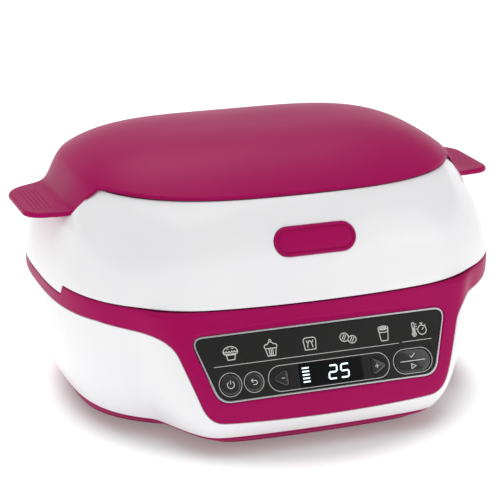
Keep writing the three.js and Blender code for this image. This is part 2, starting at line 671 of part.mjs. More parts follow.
function boardPosts() {
  const b = POWER_BOARD;
  const [middleX, middleY] = boardMiddle();
  const dx = b.length / 2 - b.postRadius;
  const dy = b.width / 2 - b.postRadius;
  return [[-1, -1], [1, -1], [1, 1], [-1, 1]].map(([sx, sy]) => [middleX + sx * dx, middleY + sy * dy]);
}

function corners(word) {
  return ['front_left', 'front_right', 'rear_right', 'rear_left'].map((place) => `${word}_${place}`);
}

function buildFeet() {
  const f = FOOT;
  const profile = [
    [0, 0], [f.radius - f.rim, 0], [f.radius, f.rim], [f.radius, BOTTOM.low], [f.stem, BOTTOM.low],
    [f.stem, BOTTOM.low + f.stemRise], [0, BOTTOM.low + f.stemRise],
  ];
  const geometry = new THREE.LatheGeometry(profile.map(([r, z]) => new THREE.Vector2(r, z)), 12);
  geometry.rotateX(Math.PI / 2);
  const names = corners('foot');
  footPlaces().forEach(([x, y], i) => addMesh(names[i], moved(geometry, x, y, 0), 'rubber'));
}

function screwGeometry(screw) {
  const profile = [
    [0, 0], [screw.head, 0], [screw.head, screw.headHeight], [screw.shank, screw.headHeight],
    [screw.shank, screw.length], [0, screw.length],
  ];
  const geometry = new THREE.LatheGeometry(profile.map(([r, z]) => new THREE.Vector2(r, z)), 8);
  return geometry.rotateX(Math.PI / 2);
}

function buildBaseScrews() {
  const names = corners('base_screw');
  const low = BOTTOM.low + WALL - GAP - BASE_SCREW.headHeight;
  screwPlaces().forEach(([x, y], i) => {
    addMesh(names[i], moved(screwGeometry(BASE_SCREW), x, y, low), 'steel');
  });
}

// The chamber's outline grown outwards, or drawn in towards its floor by a share
function chamberLoop(out, z, share = 1) {
  const c = CHAMBER;
  return roundedLoop(c.halfX * share + out, c.halfY * share + out, c.corner + out, z, c.y);
}

// A sheet bowl with a flat rim: its walls stand a distance inside the chamber's outline
function bowl(inset, floorZ, rimZ, rimOut, sheet, share) {
  const bend = WELL.bend;
  const low = floorZ - sheet;
  const top = rimZ + sheet;
  const outer = [
    chamberLoop(-inset - bend, low, share),
    chamberLoop(-inset - bend / 4, low + bend / 3, share),
    chamberLoop(-inset, low + bend, share),
    chamberLoop(-inset, rimZ),
    chamberLoop(rimOut, rimZ),
  ];
  const inner = [
    chamberLoop(rimOut, top),
    chamberLoop(-inset - sheet, top),
    chamberLoop(-inset - sheet, low + bend + sheet / 2, share),
    chamberLoop(-inset - sheet - bend / 4, low + bend / 3 + sheet, share),
    chamberLoop(-inset - sheet - bend, floorZ, share),
  ];
  return loft([...outer, ...inner]);
}

function buildWell() {
  const w = WELL;
  addMesh('cooking_well', bowl(0, w.floorZ, SEAT_Z, w.flange, w.sheet, w.floorShare), 'coated');
}

// A lifting lug that stands on the tray's rim, with an eye for a finger
function lugBody(side) {
  const l = LUG;
  const low = SEAT_Z + WELL.sheet + GAP + TRAY.sheet / 2;
  const shape = new THREE.Shape();
  shape.moveTo(-l.halfLength, 0);
  shape.lineTo(l.halfLength, 0);
  shape.quadraticCurveTo(l.halfLength, l.height, l.halfLength - l.round, l.height);
  shape.lineTo(l.round - l.halfLength, l.height);
  shape.quadraticCurveTo(-l.halfLength, l.height, -l.halfLength, 0);
  const eye = new THREE.Path();
  eye.moveTo(-l.eyeHalf, l.eyeLow);
  eye.lineTo(l.eyeHalf, l.eyeLow);
  eye.lineTo(l.eyeHalf, l.eyeHigh);
  eye.lineTo(-l.eyeHalf, l.eyeHigh);
  shape.holes.push(eye);
  const geometry = slab(shape, -l.thick / 2, l.thick / 2, 0, 4).rotateX(Math.PI / 2).rotateZ(Math.PI / 2);
  const x = CHAMBER.halfX - WELL.sheet - TRAY.clear - l.inset;
  return toSolid(moved(geometry, side * x, CHAMBER.y, low));
}

function buildTray() {
  const t = TRAY;
  const inset = WELL.sheet + t.clear;
  const rimZ = SEAT_Z + WELL.sheet + GAP;
  const body = bowl(inset, WELL.floorZ + t.lift, rimZ, t.rim - WELL.sheet, t.sheet, t.floorShare);
  const tray = toSolid(body).add(lugBody(-1)).add(lugBody(1));
  addMesh('baking_tray', toGeometry(tray), 'coated');
}

// A tubular heater: a loop open at one long side, whose ends turn up or down to the terminals
function heaterGeometry(e, z, tail) {
  const r = e.corner;
  const cut = r * (1 - Math.SQRT1_2);
  const side = CHAMBER.halfX - e.insetX;
  const back = CHAMBER.halfY - e.insetY;
  const points = [
    [e.terminalX, back, z + tail], [e.terminalX, back, z + tail / 2],
    [e.terminalX + r / 3, back, z], [side - r, back, z], [side - cut, back - cut, z],
    [side, back - r, z], [side, r - back, z], [side - cut, cut - back, z],
    [side - r, -back, z], [r, -back, z],
  ];
  const mirrored = points.slice().reverse().map(([x, y, h]) => [-x, y, h]);
  const path = new THREE.CatmullRomCurve3(
    [...points, ...mirrored].map(([x, y, h]) => new THREE.Vector3(x, CHAMBER.y + y, h)), false, 'centripetal',
  );
  const circle = new THREE.Shape();
  circle.absarc(0, 0, ELEMENT.tube / 2, 0, 2 * Math.PI);
  return new THREE.ExtrudeGeometry(circle, { steps: 34, curveSegments: 3, extrudePath: path });
}

// A rounded outline that clears a heater, for the sheet beside it
function heaterLoop(e, out, cornerOut, z) {
  const halfX = CHAMBER.halfX - e.insetX + out;
  const halfY = CHAMBER.halfY - e.insetY + out;
  return roundedLoop(halfX, halfY, e.corner + cornerOut, z, CHAMBER.y);
}

function buildLowerHeater() {
  const z = WELL.floorZ - WELL.sheet - ELEMENT.clear - ELEMENT.tube / 2;
  addMesh('lower_heating_element', heaterGeometry(ELEMENT, z, -ELEMENT.tail), 'heater');
  const s = SHIELD;
  const loop = (out, h) => heaterLoop(ELEMENT, s.out + out, s.cornerOut + out, h);
  const top = WELL.floorZ - WELL.sheet - GAP;
  const outer = [loop(-s.lip, s.floorZ), loop(0, s.floorZ + s.lip), loop(0, top)];
  const inner = [
    loop(-s.sheet, top),
    loop(-s.sheet, s.floorZ + s.lip),
    loop(-s.lip - s.sheet, s.floorZ + s.sheet),
  ];
  let shield = toSolid(loft([...outer, ...inner]));
  const hole = rod(s.hole, 0, s.floorZ + s.lip);
  shield = shield.subtract(toSolid(moved(hole, 0, CHAMBER.y, 0)));
  for (const side of [-1, 1]) {
    const slot = rod(ELEMENT.tube, 0, s.floorZ + s.sheet * 2);
    const y = CHAMBER.y + CHAMBER.halfY - ELEMENT.insetY;
    shield = shield.subtract(toSolid(moved(slot, side * ELEMENT.terminalX, y, 0)));
  }
  addMesh('lower_heat_shield', toGeometry(shield), 'sheet');
}

function buildLowerSensor() {
  const s = SENSOR;
  const top = WELL.floorZ - WELL.sheet - GAP;
  const profile = [
    [0, s.seat], [s.stem, s.seat], [s.stem, top - s.cap], [s.radius, top - s.cap], [s.radius, top], [0, top],
  ];
  const sensor = new THREE.LatheGeometry(profile.map(([r, z]) => new THREE.Vector2(r, z)), 20);
  addMesh('lower_temperature_sensor', moved(sensor.rotateX(Math.PI / 2), 0, CHAMBER.y, 0), 'steel');
  const low = s.seat + s.springWire;
  const high = top - s.cap - s.springWire - GAP;
  const points = spread(0, 1, s.springTurns * 7).map((t) => {
    const angle = t * s.springTurns * 2 * Math.PI;
    const x = s.springRadius * Math.cos(angle);
    const y = s.springRadius * Math.sin(angle);
    return new THREE.Vector3(x, CHAMBER.y + y, mix(low, high, t));
  });
  const circle = new THREE.Shape();
  circle.absarc(0, 0, s.springWire / 2, 0, 2 * Math.PI);
  const path = new THREE.CatmullRomCurve3(points);
  const spring = new THREE.ExtrudeGeometry(circle, { steps: 32, curveSegments: 2, extrudePath: path });
  addMesh('sensor_spring', spring, 'steel');
}

function buildFuse(name, z) {
  const body = rod(FUSE.radius, -FUSE.length / 2, FUSE.length / 2, 14).rotateY(Math.PI / 2);
  addMesh(name, moved(body, FUSE.x, CHAMBER.y, z), 'light');
}

function buildPowerBoard() {
  const b = POWER_BOARD;
  const low = BOTTOM.low + BOTTOM.wall + b.post;
  const [x, y] = boardMiddle();
  addMesh('power_board', block(
    x - b.length / 2, x + b.length / 2, y - b.width / 2, y + b.width / 2, low, low + b.thick,
  ), 'board');
  const top = low + b.thick;
  const item = (name, size, cx, cy, material) => {
    const dx = size.length / 2;
    const dy = size.width / 2;
    addMesh(name, block(cx - dx, cx + dx, cy - dy, cy + dy, top, top + size.height), material);
  };
  item('power_relay', RELAY, x + b.length / 5, y + b.width / 4, 'relay');
  item('filter_capacitor', CAPACITOR, x - b.length / 5, y - b.width / 5, 'dark');
}

function buildGland() {
  const g = GLAND;
  const wallY = rearWall(Math.abs(g.x) - g.flange, g.z + g.flange);
  const profile = [
    [g.bore, -g.tail], [g.radius, -g.tail], [g.radius, GAP], [g.flange, GAP], [g.flange, g.thick],
    [g.radius - g.thick, g.out], [g.bore, g.out], [g.bore, -g.tail],
  ];
  const bush = new THREE.LatheGeometry(profile.map(([r, z]) => new THREE.Vector2(r, z)), 14);
  addMesh('cord_gland', moved(bush, g.x, wallY, g.z), 'dark');
}

// Where the rear wall stands at a place across and a height
function rearWall(x, z) {
  const half = halfSizes(z);
  return half.rear * (1 - (Math.abs(x) / half.width) ** half.widthPower) ** (1 / half.depthPower);
}

// Control panel and its keys, in the panel's frame

function keyX(key) {
  return key.xShare * PANEL_HALF;
}

function keyShape(key, grow) {
  const shape = new THREE.Shape();
  if (key.halfShare) {
    const r = key.radius + grow;
    const run = key.halfShare * PANEL_HALF - key.radius;
    shape.absarc(run, 0, r, -Math.PI / 2, Math.PI / 2);
    shape.absarc(-run, 0, r, Math.PI / 2, 3 * Math.PI / 2);
    shape.closePath();
  } else if (key.triangle) {
    const r = key.triangle / 3;
    for (let i = 0; i < 3; i += 1) {
      const angle = key.turn + i * 2 * Math.PI / 3;
      const cx = (key.triangle - r) * Math.cos(angle);
      const cy = (key.triangle - r) * Math.sin(angle);
      shape.absarc(cx, cy, r + grow, angle - Math.PI / 3, angle + Math.PI / 3);
    }
    shape.closePath();
  } else {
    shape.absarc(0, 0, key.radius + grow, 0, 2 * Math.PI);
  }
  return shape;
}

function keySegments(key) {
  return key.triangle ? 2 : 7;
}

function buildControlPanel() {
  const p = PANEL;
  let panel = toSolid(slab(panelOutline(0), -p.thick, 0));
  for (const key of KEYS) {
    const hole = slab(keyShape(key, KEY.clear), -p.thick * 2, p.thick, 0, keySegments(key));
    panel = panel.subtract(toSolid(moved(hole, keyX(key), key.y, 0)));
  }
  const w = WINDOW;
  const windowX = w.xShare * PANEL_HALF;
  const windowHalf = w.halfShare * PANEL_HALF;
  const inner = slab(roundedShape(windowHalf - w.ledge, w.halfY - w.ledge, w.corner), -p.thick * 2, p.thick);
  const seat = slab(roundedShape(windowHalf + GAP, w.halfY + GAP, w.corner), -w.thick - GAP, p.thick);
  panel = panel.subtract(toSolid(moved(inner, windowX, w.y, 0)));
  panel = panel.subtract(toSolid(moved(seat, windowX, w.y, 0)));
  for (const [x, y] of postPlaces()) {
    panel = panel.add(toSolid(moved(rod(POST.radius, -BOARD.drop + GAP, -p.thick / 2, 8), x, y, 0)));
  }
  addMesh('control_panel', toGeometry(panel), 'panel', panelGroup);
  const trim = panelOutline(p.trim + GAP);
  trim.holes.push(new THREE.Path().setFromPoints(panelShape(GAP)));
  addMesh('panel_trim', slab(trim, -p.thick, p.trimProud), 'trim', panelGroup);
  const glass = slab(roundedShape(windowHalf, w.halfY, w.corner), -w.thick, 0);
  addMesh('display_window', moved(glass, windowX, w.y, 0), 'glass', panelGroup);
  const d = DISPLAY;
  const low = -BOARD.drop + GAP;
  const module = slab(roundedShape(windowHalf - d.inset, d.halfY, w.corner), low, low + d.thick);
  addMesh('display_module', moved(module, windowX, w.y, 0), 'light', panelGroup);
}

function postPlaces() {
  const x = PANEL_HALF - POST.inset;
  return [-x, 0, x].map((place) => [place, POST.y]);
}

function buildControlBoard() {
  const b = BOARD;
  addMesh('control_board', slab(panelOutline(-b.margin), -b.drop - b.thick, -b.drop), 'board', panelGroup);
}

function buildKeys() {
  const under = -PANEL.thick - GAP;
  const bodyTop = -BOARD.drop + SWITCH.body;
  const stemLow = bodyTop + SWITCH.tipHeight + KEY.travel + KEY.rest;
  const half = SWITCH.side / 2;
  for (const key of KEYS) {
    const segments = keySegments(key);
    const cap = toSolid(slab(keyShape(key, 0), under, KEY.proud, KEY.proud / 2, segments));
    const skirt = toSolid(slab(keyShape(key, KEY.skirt), under - KEY.skirtThick, under, 0, segments));
    const stem = toSolid(rod(KEY.stem, stemLow, -PANEL.thick, 8));
    const solid = cap.add(skirt).add(stem);
    addMesh(key.name, moved(toGeometry(solid), keyX(key), key.y, 0), 'key', panelGroup);
    const body = toSolid(block(-half, half, -half, half, -BOARD.drop + GAP, bodyTop));
    const tip = toSolid(rod(SWITCH.tip, bodyTop - SWITCH.body / 2, bodyTop + SWITCH.tipHeight, 10));
    const name = key.name.replace('button', 'switch');
    addMesh(name, moved(toGeometry(body.add(tip)), keyX(key), key.y, 0), 'dark', panelGroup);
  }
}

// Lid

function coverEdge(x, y) {
  const across = Math.abs(x) / EDGE_HALF_WIDTH;
  const along = Math.abs(y) / (y < 0 ? EDGE_FRONT : EDGE_REAR);
  return across ** EDGE_WIDTH_POWER_SHARE + along ** EDGE_DEPTH_POWER_SHARE;
}

function coverTop(x, y) {
  const c = COVER;
  const q = coverEdge(x, y);
  const edge = EDGE_Z + c.rise * (x / EDGE_HALF_WIDTH) ** 2;
  const past = Math.max(q - 1, 0);
  const slope = c.crown * c.crownShare;
  const dome = q < 1 ? edge + c.crown * (1 - q ** c.crownShare) : edge - slope * past;
  const fall = dome - (c.fall - slope) * past - c.fallBend * past * past;
  return smoothMax(fall, EDGE_Z - c.earDrop, c.blend);
}

function coverBottom(x, y) {
  const c = COVER;
  const share = smoothStep((Math.abs(x) - EDGE_HALF_WIDTH + c.thickInset) / (c.thickInset + c.thickOut));
  return coverTop(x, y) - mix(c.thick, c.earThick, share);
}

// Half the depth of a handle at a distance from its tip
function earHalfAt(run) {
  return COVER.earHalf + COVER.flare * (run / COVER.flareRun) ** COVER.flareShare;
}

function earDistance(x, y) {
  const c = COVER;
  const half = earHalfAt(Math.min(Math.max(EAR_X - Math.abs(x), 0), c.flareRun));
  const dx = Math.abs(x) - (EAR_X - c.earCorner);
  const dy = Math.abs(y - c.earY) - (half - c.earCorner);
  const outside = Math.hypot(Math.max(dx, 0), Math.max(dy, 0));
  return outside + Math.min(Math.max(dx, dy), 0) - c.earCorner;
}

function onCover(x, y) {
  const inDome = coverEdge(x, y) <= 1;
  const inEar = Math.abs(x) > EDGE_HALF_WIDTH * EAR_START_SHARE && earDistance(x, y) <= 0;
  return inDome || inEar;
}

// How far a shape reaches from the middle in a direction
function radiusTo(angle, inside) {
  let low = EDGE_FRONT / 2;
  let high = EAR_X + COVER.flare;
  for (let i = 0; i < 30; i += 1) {
    const middle = (low + high) / 2;
    if (inside(middle * Math.cos(angle), middle * Math.sin(angle))) {
      low = middle;
    } else {
      high = middle;
    }
  }
  return low;
}

// Directions of the points round the cover: through each handle's corner and flare, then over the dome's edge
function coverAngles() {
  const c = COVER;
  const corner = CORNER_SHARES.map((share) => {
    const turn = share * Math.PI / 2;
    const half = c.earHalf - c.earCorner * (1 - Math.sin(turn));
    return [EAR_X - c.earCorner * (1 - Math.cos(turn)), half, c.earY];
  });
  const flare = FLARE_SHARES.map((share) => {
    const run = share * c.flareRun;
    return [EAR_X - run, earHalfAt(run), c.earY];
  });
  const dome = DOME_SHARES.map((share) => {
    const rest = 1 - share ** EDGE_WIDTH_POWER_SHARE;
    return [EDGE_HALF_WIDTH * share, EDGE_REAR * rest ** (1 / EDGE_DEPTH_POWER_SHARE), 0];
  });
  const angles = [0, Math.PI];
  for (const [x, half, middle] of [...corner, ...flare, ...dome]) {
    for (const [sx, sy] of [[1, 1], [-1, 1], [-1, -1], [1, -1]]) {
      const angle = Math.atan2(middle + sy * half, sx * x);
      angles.push(angle < 0 ? angle + 2 * Math.PI : angle);
    }
  }
  return angles.sort((a, b) => a - b).filter((a, i, all) => i === 0 || a - all[i - 1] > ANGLE_MERGE_SHARE);
}

// Rings across the cover: over the dome first, then out to the tips of the handles
function coverLoops(heightAt) {
  const angles = coverAngles();
  const domeRadii = angles.map((a) => radiusTo(a, (x, y) => coverEdge(x, y) <= 1));
  const radii = angles.map((a) => radiusTo(a, onCover));
  const lastDome = DOME_RING_SHARES[DOME_RING_SHARES.length - 1];
  const rings = [
    ...DOME_RING_SHARES.map((share) => domeRadii.map((radius) => radius * share)),
    ...EAR_RING_SHARES.map((share) => radii.map((radius, i) => mix(domeRadii[i] * lastDome, radius, share))),
  ];
  return rings.map((ring) => ring.map((radius, i) => {
    const x = radius * Math.cos(angles[i]);
    const y = radius * Math.sin(angles[i]);
    return [x, y, heightAt(x, y)];
  }));
}

function buildCover() {
  const loops = [...coverLoops(coverBottom), ...coverLoops(coverTop).reverse()];
  addMesh('lid_cover', loft(loops, false, true), 'berry');
}

// The height at which a line up the lid's wall meets the cover, at an angle round the body
function lidTopZ(angle) {
  const meets = (z) => {
    const [x, y] = bodyPoint(angle, z);
    const beyond = earDistance(x, y);
    const nearEar = Math.abs(x) > EDGE_HALF_WIDTH * EAR_START_SHARE && beyond <= LEDGE.edgeClear;
    const margin = mix(3 * SEAM_GAP, LEDGE.clear, smoothStep(-beyond / LEDGE.clear));
    return nearEar && z > coverBottom(x, y) - margin;
  };
  let low = SEAM_Z;
  let high = coverBottom(...bodyPoint(angle, EDGE_Z)) - LEDGE.edgeClear;
  if (!meets(high)) {
    return high;
  }
  for (let i = 0; i < 24; i += 1) {
    const middle = (low + high) / 2;
    if (meets(middle)) {
      high = middle;
    } else {
      low = middle;
    }
  }
  return high;
}

function superPoint(angle, halfX, halfY, power, centreY) {
  const c = Math.cos(angle);
  const s = Math.sin(angle);
  const x = halfX * Math.sign(c) * Math.abs(c) ** (2 / power);
  return [x, centreY + halfY * Math.sign(s) * Math.abs(s) ** (2 / power)];
}

// One vertical cut through the lid's wall, its top ledge and its inner frame, as a closed outline
function lidSection(angle) {
  const top = lidTopZ(angle);
  const seamAt = bodyPoint(angle, SEAM_Z);
  const low = seamZ(seamAt[0], seamAt[1]) + SEAM_GAP / 2;
  const outer = LID_LEVEL_SHARES.map((share) => bodyPoint(angle, mix(low, top, share)));
  const edge = outer[outer.length - 1];
  const hole = superPoint(
    angle, EDGE_HALF_WIDTH - LEDGE.insetX, EDGE_FRONT - LEDGE.insetY, LEDGE.powerShare, 0,
  );
  const ledgeAt = (share, drop) => {
    const x = mix(edge[0], hole[0], share);
    const y = mix(edge[1], hole[1], share);
    const clear = mix(LEDGE.edgeClear, LEDGE.clear, Math.min(share * LEDGE.fallShare, 1));
    return [x, y, coverBottom(x, y) - clear - drop];
  };
  const over = LEDGE_SHARES.map((share) => ledgeAt(share, 0));
  const under = LEDGE_SHARES.slice(1).reverse().map((share) => ledgeAt(share, LEDGE.thick));
  const inTop = top - LEDGE.thick * 2;
  const inLow = LID_FRAME_Z + LID_FRAME.thick;
  const wall = INNER_LEVEL_SHARES.slice().reverse()
    .map((share) => bodyPoint(angle, mix(inLow, inTop, share), WALL));
  const frameIn = superPoint(
    angle, CHAMBER.halfX + LID_FRAME.out, CHAMBER.halfY + LID_FRAME.out, LID_FRAME.powerShare, CHAMBER.y,
  );
  const rim = [[...frameIn, inLow], [...frameIn, LID_FRAME_Z], bodyPoint(angle, LID_FRAME_Z, WALL)];
  return [...outer, ...over, ...under, ...wall, ...rim, bodyPoint(angle, low, WALL)];
}

const earAngles = EAR_Y_SHARES.flatMap((share) => {
  const swing = Math.asin((share * COVER.earHalf / SEAM_FRONT) ** (DEPTH_POWER_SHARE / 2));
  return [swing, Math.PI - swing, Math.PI + swing, 2 * Math.PI - swing];
});
const stepAngles = [STEP_Y - STEP_RUN / 2, STEP_Y, STEP_Y + STEP_RUN / 2].flatMap((y) => {
  const swing = Math.asin((Math.abs(y) / SEAM_FRONT) ** (DEPTH_POWER_SHARE / 2));
  return [Math.PI + swing, 2 * Math.PI - swing];
});

function buildLidShell() {
  const angles = [...bodyAngles, ...earAngles, ...stepAngles].sort((a, b) => a - b)
    .filter((angle, i, all) => i === 0 || angle - all[i - 1] > ANGLE_MERGE_SHARE);
  const sections = angles.map(lidSection);
  const rows = sections[0].map((_, row) => sections.map((section) => section[row]));
  let shell = toSolid(loft(rows, true, true));
  shell = shell.subtract(toSolid(badgeBody(GAP, 0)));
  for (const [x, y] of lidScrewPlaces()) {
    const hole = rod(LID_SCREW.shank + GAP, LID_FRAME_Z - WALL, LID_FRAME_Z + LID_FRAME.thick + WALL, 8);
    shell = shell.subtract(toSolid(moved(hole, x, y, 0)));
  }
  addMesh('lid_shell', toGeometry(shell), 'white');
}

function badgeBody(grow, bevel) {
  const b = BADGE;
  const shape = new THREE.Shape();
  const r = b.halfY + grow;
  const run = b.halfX - b.halfY;
  shape.absarc(run, 0, r, -Math.PI / 2, Math.PI / 2);
  shape.absarc(-run, 0, r, Math.PI / 2, 3 * Math.PI / 2);
  shape.closePath();
  const geometry = slab(shape, -b.sunk - grow, b.thick - b.sunk + grow, bevel);
  geometry.rotateX(Math.PI / 2 - THREE.MathUtils.degToRad(b.lean));
  const z = SEAM_Z + b.rise;
  return geometry.translate(0, b.inset - halfSizes(z).front, z);
}

function buildBadge() {
  addMesh('lid_badge', badgeBody(0, BADGE.bevel), 'berry');
}

function lidScrewPlaces() {
  return fourPlaces(CHAMBER.halfX * LID_SCREW.xShare, CHAMBER.halfY + LID_FRAME.out + LID_SCREW.inset);
}

function buildLiner() {
  const l = LINER;
  const high = LID_FRAME_Z - GAP;
  const low = high - l.sheet;
  const s = l.roofShare;
  const under = [
    chamberLoop(-l.bend, ROOF_Z, s),
    chamberLoop(0, ROOF_Z - l.bend, s),
    chamberLoop(0, low),
    chamberLoop(l.flange, low),
  ];
  const over = [
    chamberLoop(l.flange, high),
    chamberLoop(l.sheet, high),
    chamberLoop(l.sheet, ROOF_Z - l.bend, s),
    chamberLoop(-l.bend, ROOF_Z + l.sheet, s),
  ];
  let liner = toSolid(loft([...under, ...over]));
  for (const [x, y] of lidScrewPlaces()) {
    liner = liner.subtract(toSolid(moved(rod(LID_SCREW.shank + GAP, low - WALL, high + WALL, 8), x, y, 0)));
  }
  addMesh('lid_liner', toGeometry(liner), 'coated');
  const names = corners('lid_screw');
  const head = low - GAP - LID_SCREW.headHeight;
  lidScrewPlaces().forEach(([x, y], i) => {
    addMesh(names[i], moved(screwGeometry(LID_SCREW), x, y, head), 'steel');
  });
}

function buildSeal() {
  const low = SEAT_Z + WELL.sheet + GAP;
  const high = LID_FRAME_Z - GAP - LINER.sheet - GAP;
  const s = SEAL;
  const ring = [
    chamberLoop(s.out + s.groove, low),
    chamberLoop(s.out + s.width, low + s.groove),
    chamberLoop(s.out + s.width, high),
    chamberLoop(s.out, high),
    chamberLoop(s.out, low + s.groove),
  ];
  addMesh('lid_seal', loft(ring, true), 'silicone');
}

function buildUpperHeater() {
  const roof = ROOF_Z + LINER.sheet + GAP;
  const z = roof - GAP + ELEMENT.clear + ELEMENT.tube / 2;
  addMesh('upper_heating_element', heaterGeometry(LID_ELEMENT, z, LID_ELEMENT.tail), 'heater');
  const r = REFLECTOR;
  const high = ROOF_Z + r.height;
  const loop = (out, h) => heaterLoop(LID_ELEMENT, r.out + out, r.cornerOut + out, h);
  const outer = [loop(0, roof), loop(0, high - r.lip), loop(-r.lip, high)];
  const inner = [loop(-r.sheet, roof), loop(-r.sheet, high - r.lip), loop(-r.lip - r.sheet, high - r.sheet)];
  let sheet = toSolid(loft([...inner.reverse(), ...outer]));
  for (const side of [-1, 1]) {
    const slot = rod(ELEMENT.tube, high - r.lip, high + r.lip);
    const y = CHAMBER.y + CHAMBER.halfY - LID_ELEMENT.insetY;
    sheet = sheet.subtract(toSolid(moved(slot, side * LID_ELEMENT.terminalX, y, 0)));
  }
  addMesh('upper_heat_reflector', toGeometry(sheet), 'sheet');
  const sensor = rod(LID_SENSOR.radius, roof, roof + LID_SENSOR.height);
  addMesh('upper_temperature_sensor', moved(sensor, 0, CHAMBER.y, 0), 'steel');
  buildFuse('upper_thermal_fuse', roof + FUSE.radius);
}

// Hinges

// Turns a shape drawn in the side view, rear to the right and up, so that its thickness runs along X
function acrossHinge(geometry) {
  const turn = new THREE.Matrix4().makeBasis(
    new THREE.Vector3(0, 1, 0), new THREE.Vector3(0, 0, 1), new THREE.Vector3(1, 0, 0),
  );
  return geometry.applyMatrix4(turn).translate(0, HINGE_Y, HINGE_Z);
}

// A knuckle with a leaf that sweeps from it to the wall above or below
function knuckle(x0, x1, leaf) {
  const h = HINGE;
  const wall = -h.out - WALL;
  const up = Math.sign(leaf);
  const round = spread(Math.PI, 2 * Math.PI, 7)
    .map((t) => new THREE.Vector2(h.barrel * Math.cos(t), up * h.barrel * Math.sin(t)));
  const sweep = new THREE.QuadraticBezierCurve(
    new THREE.Vector2(h.barrel, 0),
    new THREE.Vector2(h.barrel, leaf * h.leafCurveShare),
    new THREE.Vector2(wall, leaf),
  );
  const points = [...round, ...sweep.getPoints(5).slice(1)];
  points.push(new THREE.Vector2(wall, 0));
  const shape = new THREE.Shape().setFromPoints(points);
  return toSolid(acrossHinge(slab(shape, x0, x1, h.round)));
}

function pinBore(x0, x1) {
  const bore = rod(HINGE.pin + GAP, x0 - WALL, x1 + WALL, 10).rotateY(Math.PI / 2);
  return toSolid(moved(bore, 0, HINGE_Y, HINGE_Z));
}

function buildHinge(side, word) {
  const h = HINGE;
  const middle = side * h.x;
  const lidHalf = h.lidWidth / 2;
  const bore = pinBore(middle - h.lidWidth, middle + h.lidWidth);
  const aboveWall = bodySolid(lidLevels, -GAP);
  const lidPart = knuckle(middle - lidHalf, middle + lidHalf, h.leafUp).subtract(aboveWall).subtract(bore);
  addMesh(`lid_hinge_${word}`, toGeometry(lidPart), 'white');
  const inner = lidHalf + h.play;
  const reach = inner + h.sideWidth;
  const plateShape = roundedShape(reach, (h.plateLow - h.plateHigh) / 2, h.plateRound);
  const plate = slab(plateShape, -h.out - WALL, h.plateOut - h.out, 0).rotateX(Math.PI / 2).rotateZ(Math.PI);
  let strap = toSolid(moved(plate, middle, HINGE_Y, HINGE_Z - (h.plateLow + h.plateHigh) / 2));
  strap = strap.add(knuckle(middle - reach, middle - inner, -h.leafDown));
  strap = strap.add(knuckle(middle + inner, middle + reach, -h.leafDown));
  strap = strap.subtract(bodySolid(baseLevels, -GAP)).subtract(bore);
  addMesh(`base_hinge_${word}`, toGeometry(strap), 'berry');
  const pin = toSolid(rod(h.pin, -reach, reach + h.headLong / 2, 10).rotateY(Math.PI / 2));
  const head = toSolid(rod(h.head, reach + GAP, reach + GAP + h.headLong, 10).rotateY(Math.PI / 2));
  addMesh(`hinge_pin_${word}`, moved(toGeometry(pin.add(head)), middle, HINGE_Y, HINGE_Z), 'steel');
}

buildBaseShell();
buildRimFrame();
buildBottomCover();
buildFeet();
buildBaseScrews();
buildWell();
buildTray();
buildLowerHeater();
buildLowerSensor();
buildFuse('lower_thermal_fuse', WELL.floorZ - WELL.sheet - GAP - FUSE.radius);
buildPowerBoard();
buildGland();
buildControlPanel();
buildControlBoard();
buildKeys();
buildCover();
buildLidShell();
buildBadge();
buildLiner();
buildSeal();
buildUpperHeater();
buildHinge(-1, 'left');
buildHinge(1, 'right');

// The origin stands on the ground under the middle of the plan
product.updateMatrixWorld(true);
const bounds = new THREE.Box3().setFromObject(product, true);
product.position.y = -(bounds.min.y + bounds.max.y) / 2;

export default product;
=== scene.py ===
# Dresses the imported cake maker: fine shells, panel, buttons, light and camera round the fixed model.
# Lengths in the dictionaries are millimetres unless a name says otherwise; meshes are made in metres.
import math

import bpy
import numpy as np
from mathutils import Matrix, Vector


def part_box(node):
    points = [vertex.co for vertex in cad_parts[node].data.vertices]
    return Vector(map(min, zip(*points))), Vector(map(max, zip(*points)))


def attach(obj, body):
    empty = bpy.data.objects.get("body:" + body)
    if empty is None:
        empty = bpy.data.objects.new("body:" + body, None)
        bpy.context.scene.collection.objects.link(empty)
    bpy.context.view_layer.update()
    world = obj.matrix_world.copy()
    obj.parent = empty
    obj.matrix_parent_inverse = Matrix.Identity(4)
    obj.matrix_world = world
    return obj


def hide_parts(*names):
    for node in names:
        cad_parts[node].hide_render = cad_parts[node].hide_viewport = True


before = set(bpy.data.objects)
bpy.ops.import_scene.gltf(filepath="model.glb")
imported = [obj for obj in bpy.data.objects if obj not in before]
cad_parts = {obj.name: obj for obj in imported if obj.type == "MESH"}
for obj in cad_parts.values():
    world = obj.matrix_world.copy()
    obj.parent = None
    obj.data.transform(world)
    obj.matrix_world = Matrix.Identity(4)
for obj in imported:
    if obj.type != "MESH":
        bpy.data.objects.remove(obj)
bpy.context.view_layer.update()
scene = bpy.context.scene

millimetre = 0.001
# what all shells share, and the chamber they stand round, in the solids' own coordinates
layout = {"shiftY": 15.7866, "gap": 0.3, "wall": 2.6}
chamber = {"halfX": 136.0, "halfY": 98.0, "corner": 44.0, "y": -5.0}


def toMetres(points):
    moved = np.array(points, dtype=float)
    moved[..., 1] += layout["shiftY"]
    return moved * millimetre


def standing(flat, axis, level, shift=(0.0, 0.0)):
    # a flat outline, moved by a shift, as points at one level along an axis
    return np.insert(np.asarray(flat, dtype=float)[:, :2] + shift, axis, level, axis=1)


def atHeight(flat, height):
    return standing(flat, 2, height)


def arc(cx, cy, rx, ry=None, start=0.0, end=360.0, steps=24):
    ry = rx if ry is None else ry
    turns = np.radians(np.linspace(start, end, steps + 1))
    turns = turns[:-1] if abs(end - start) == 360 else turns
    return np.stack([cx + rx * np.cos(turns), cy + ry * np.sin(turns)], 1)


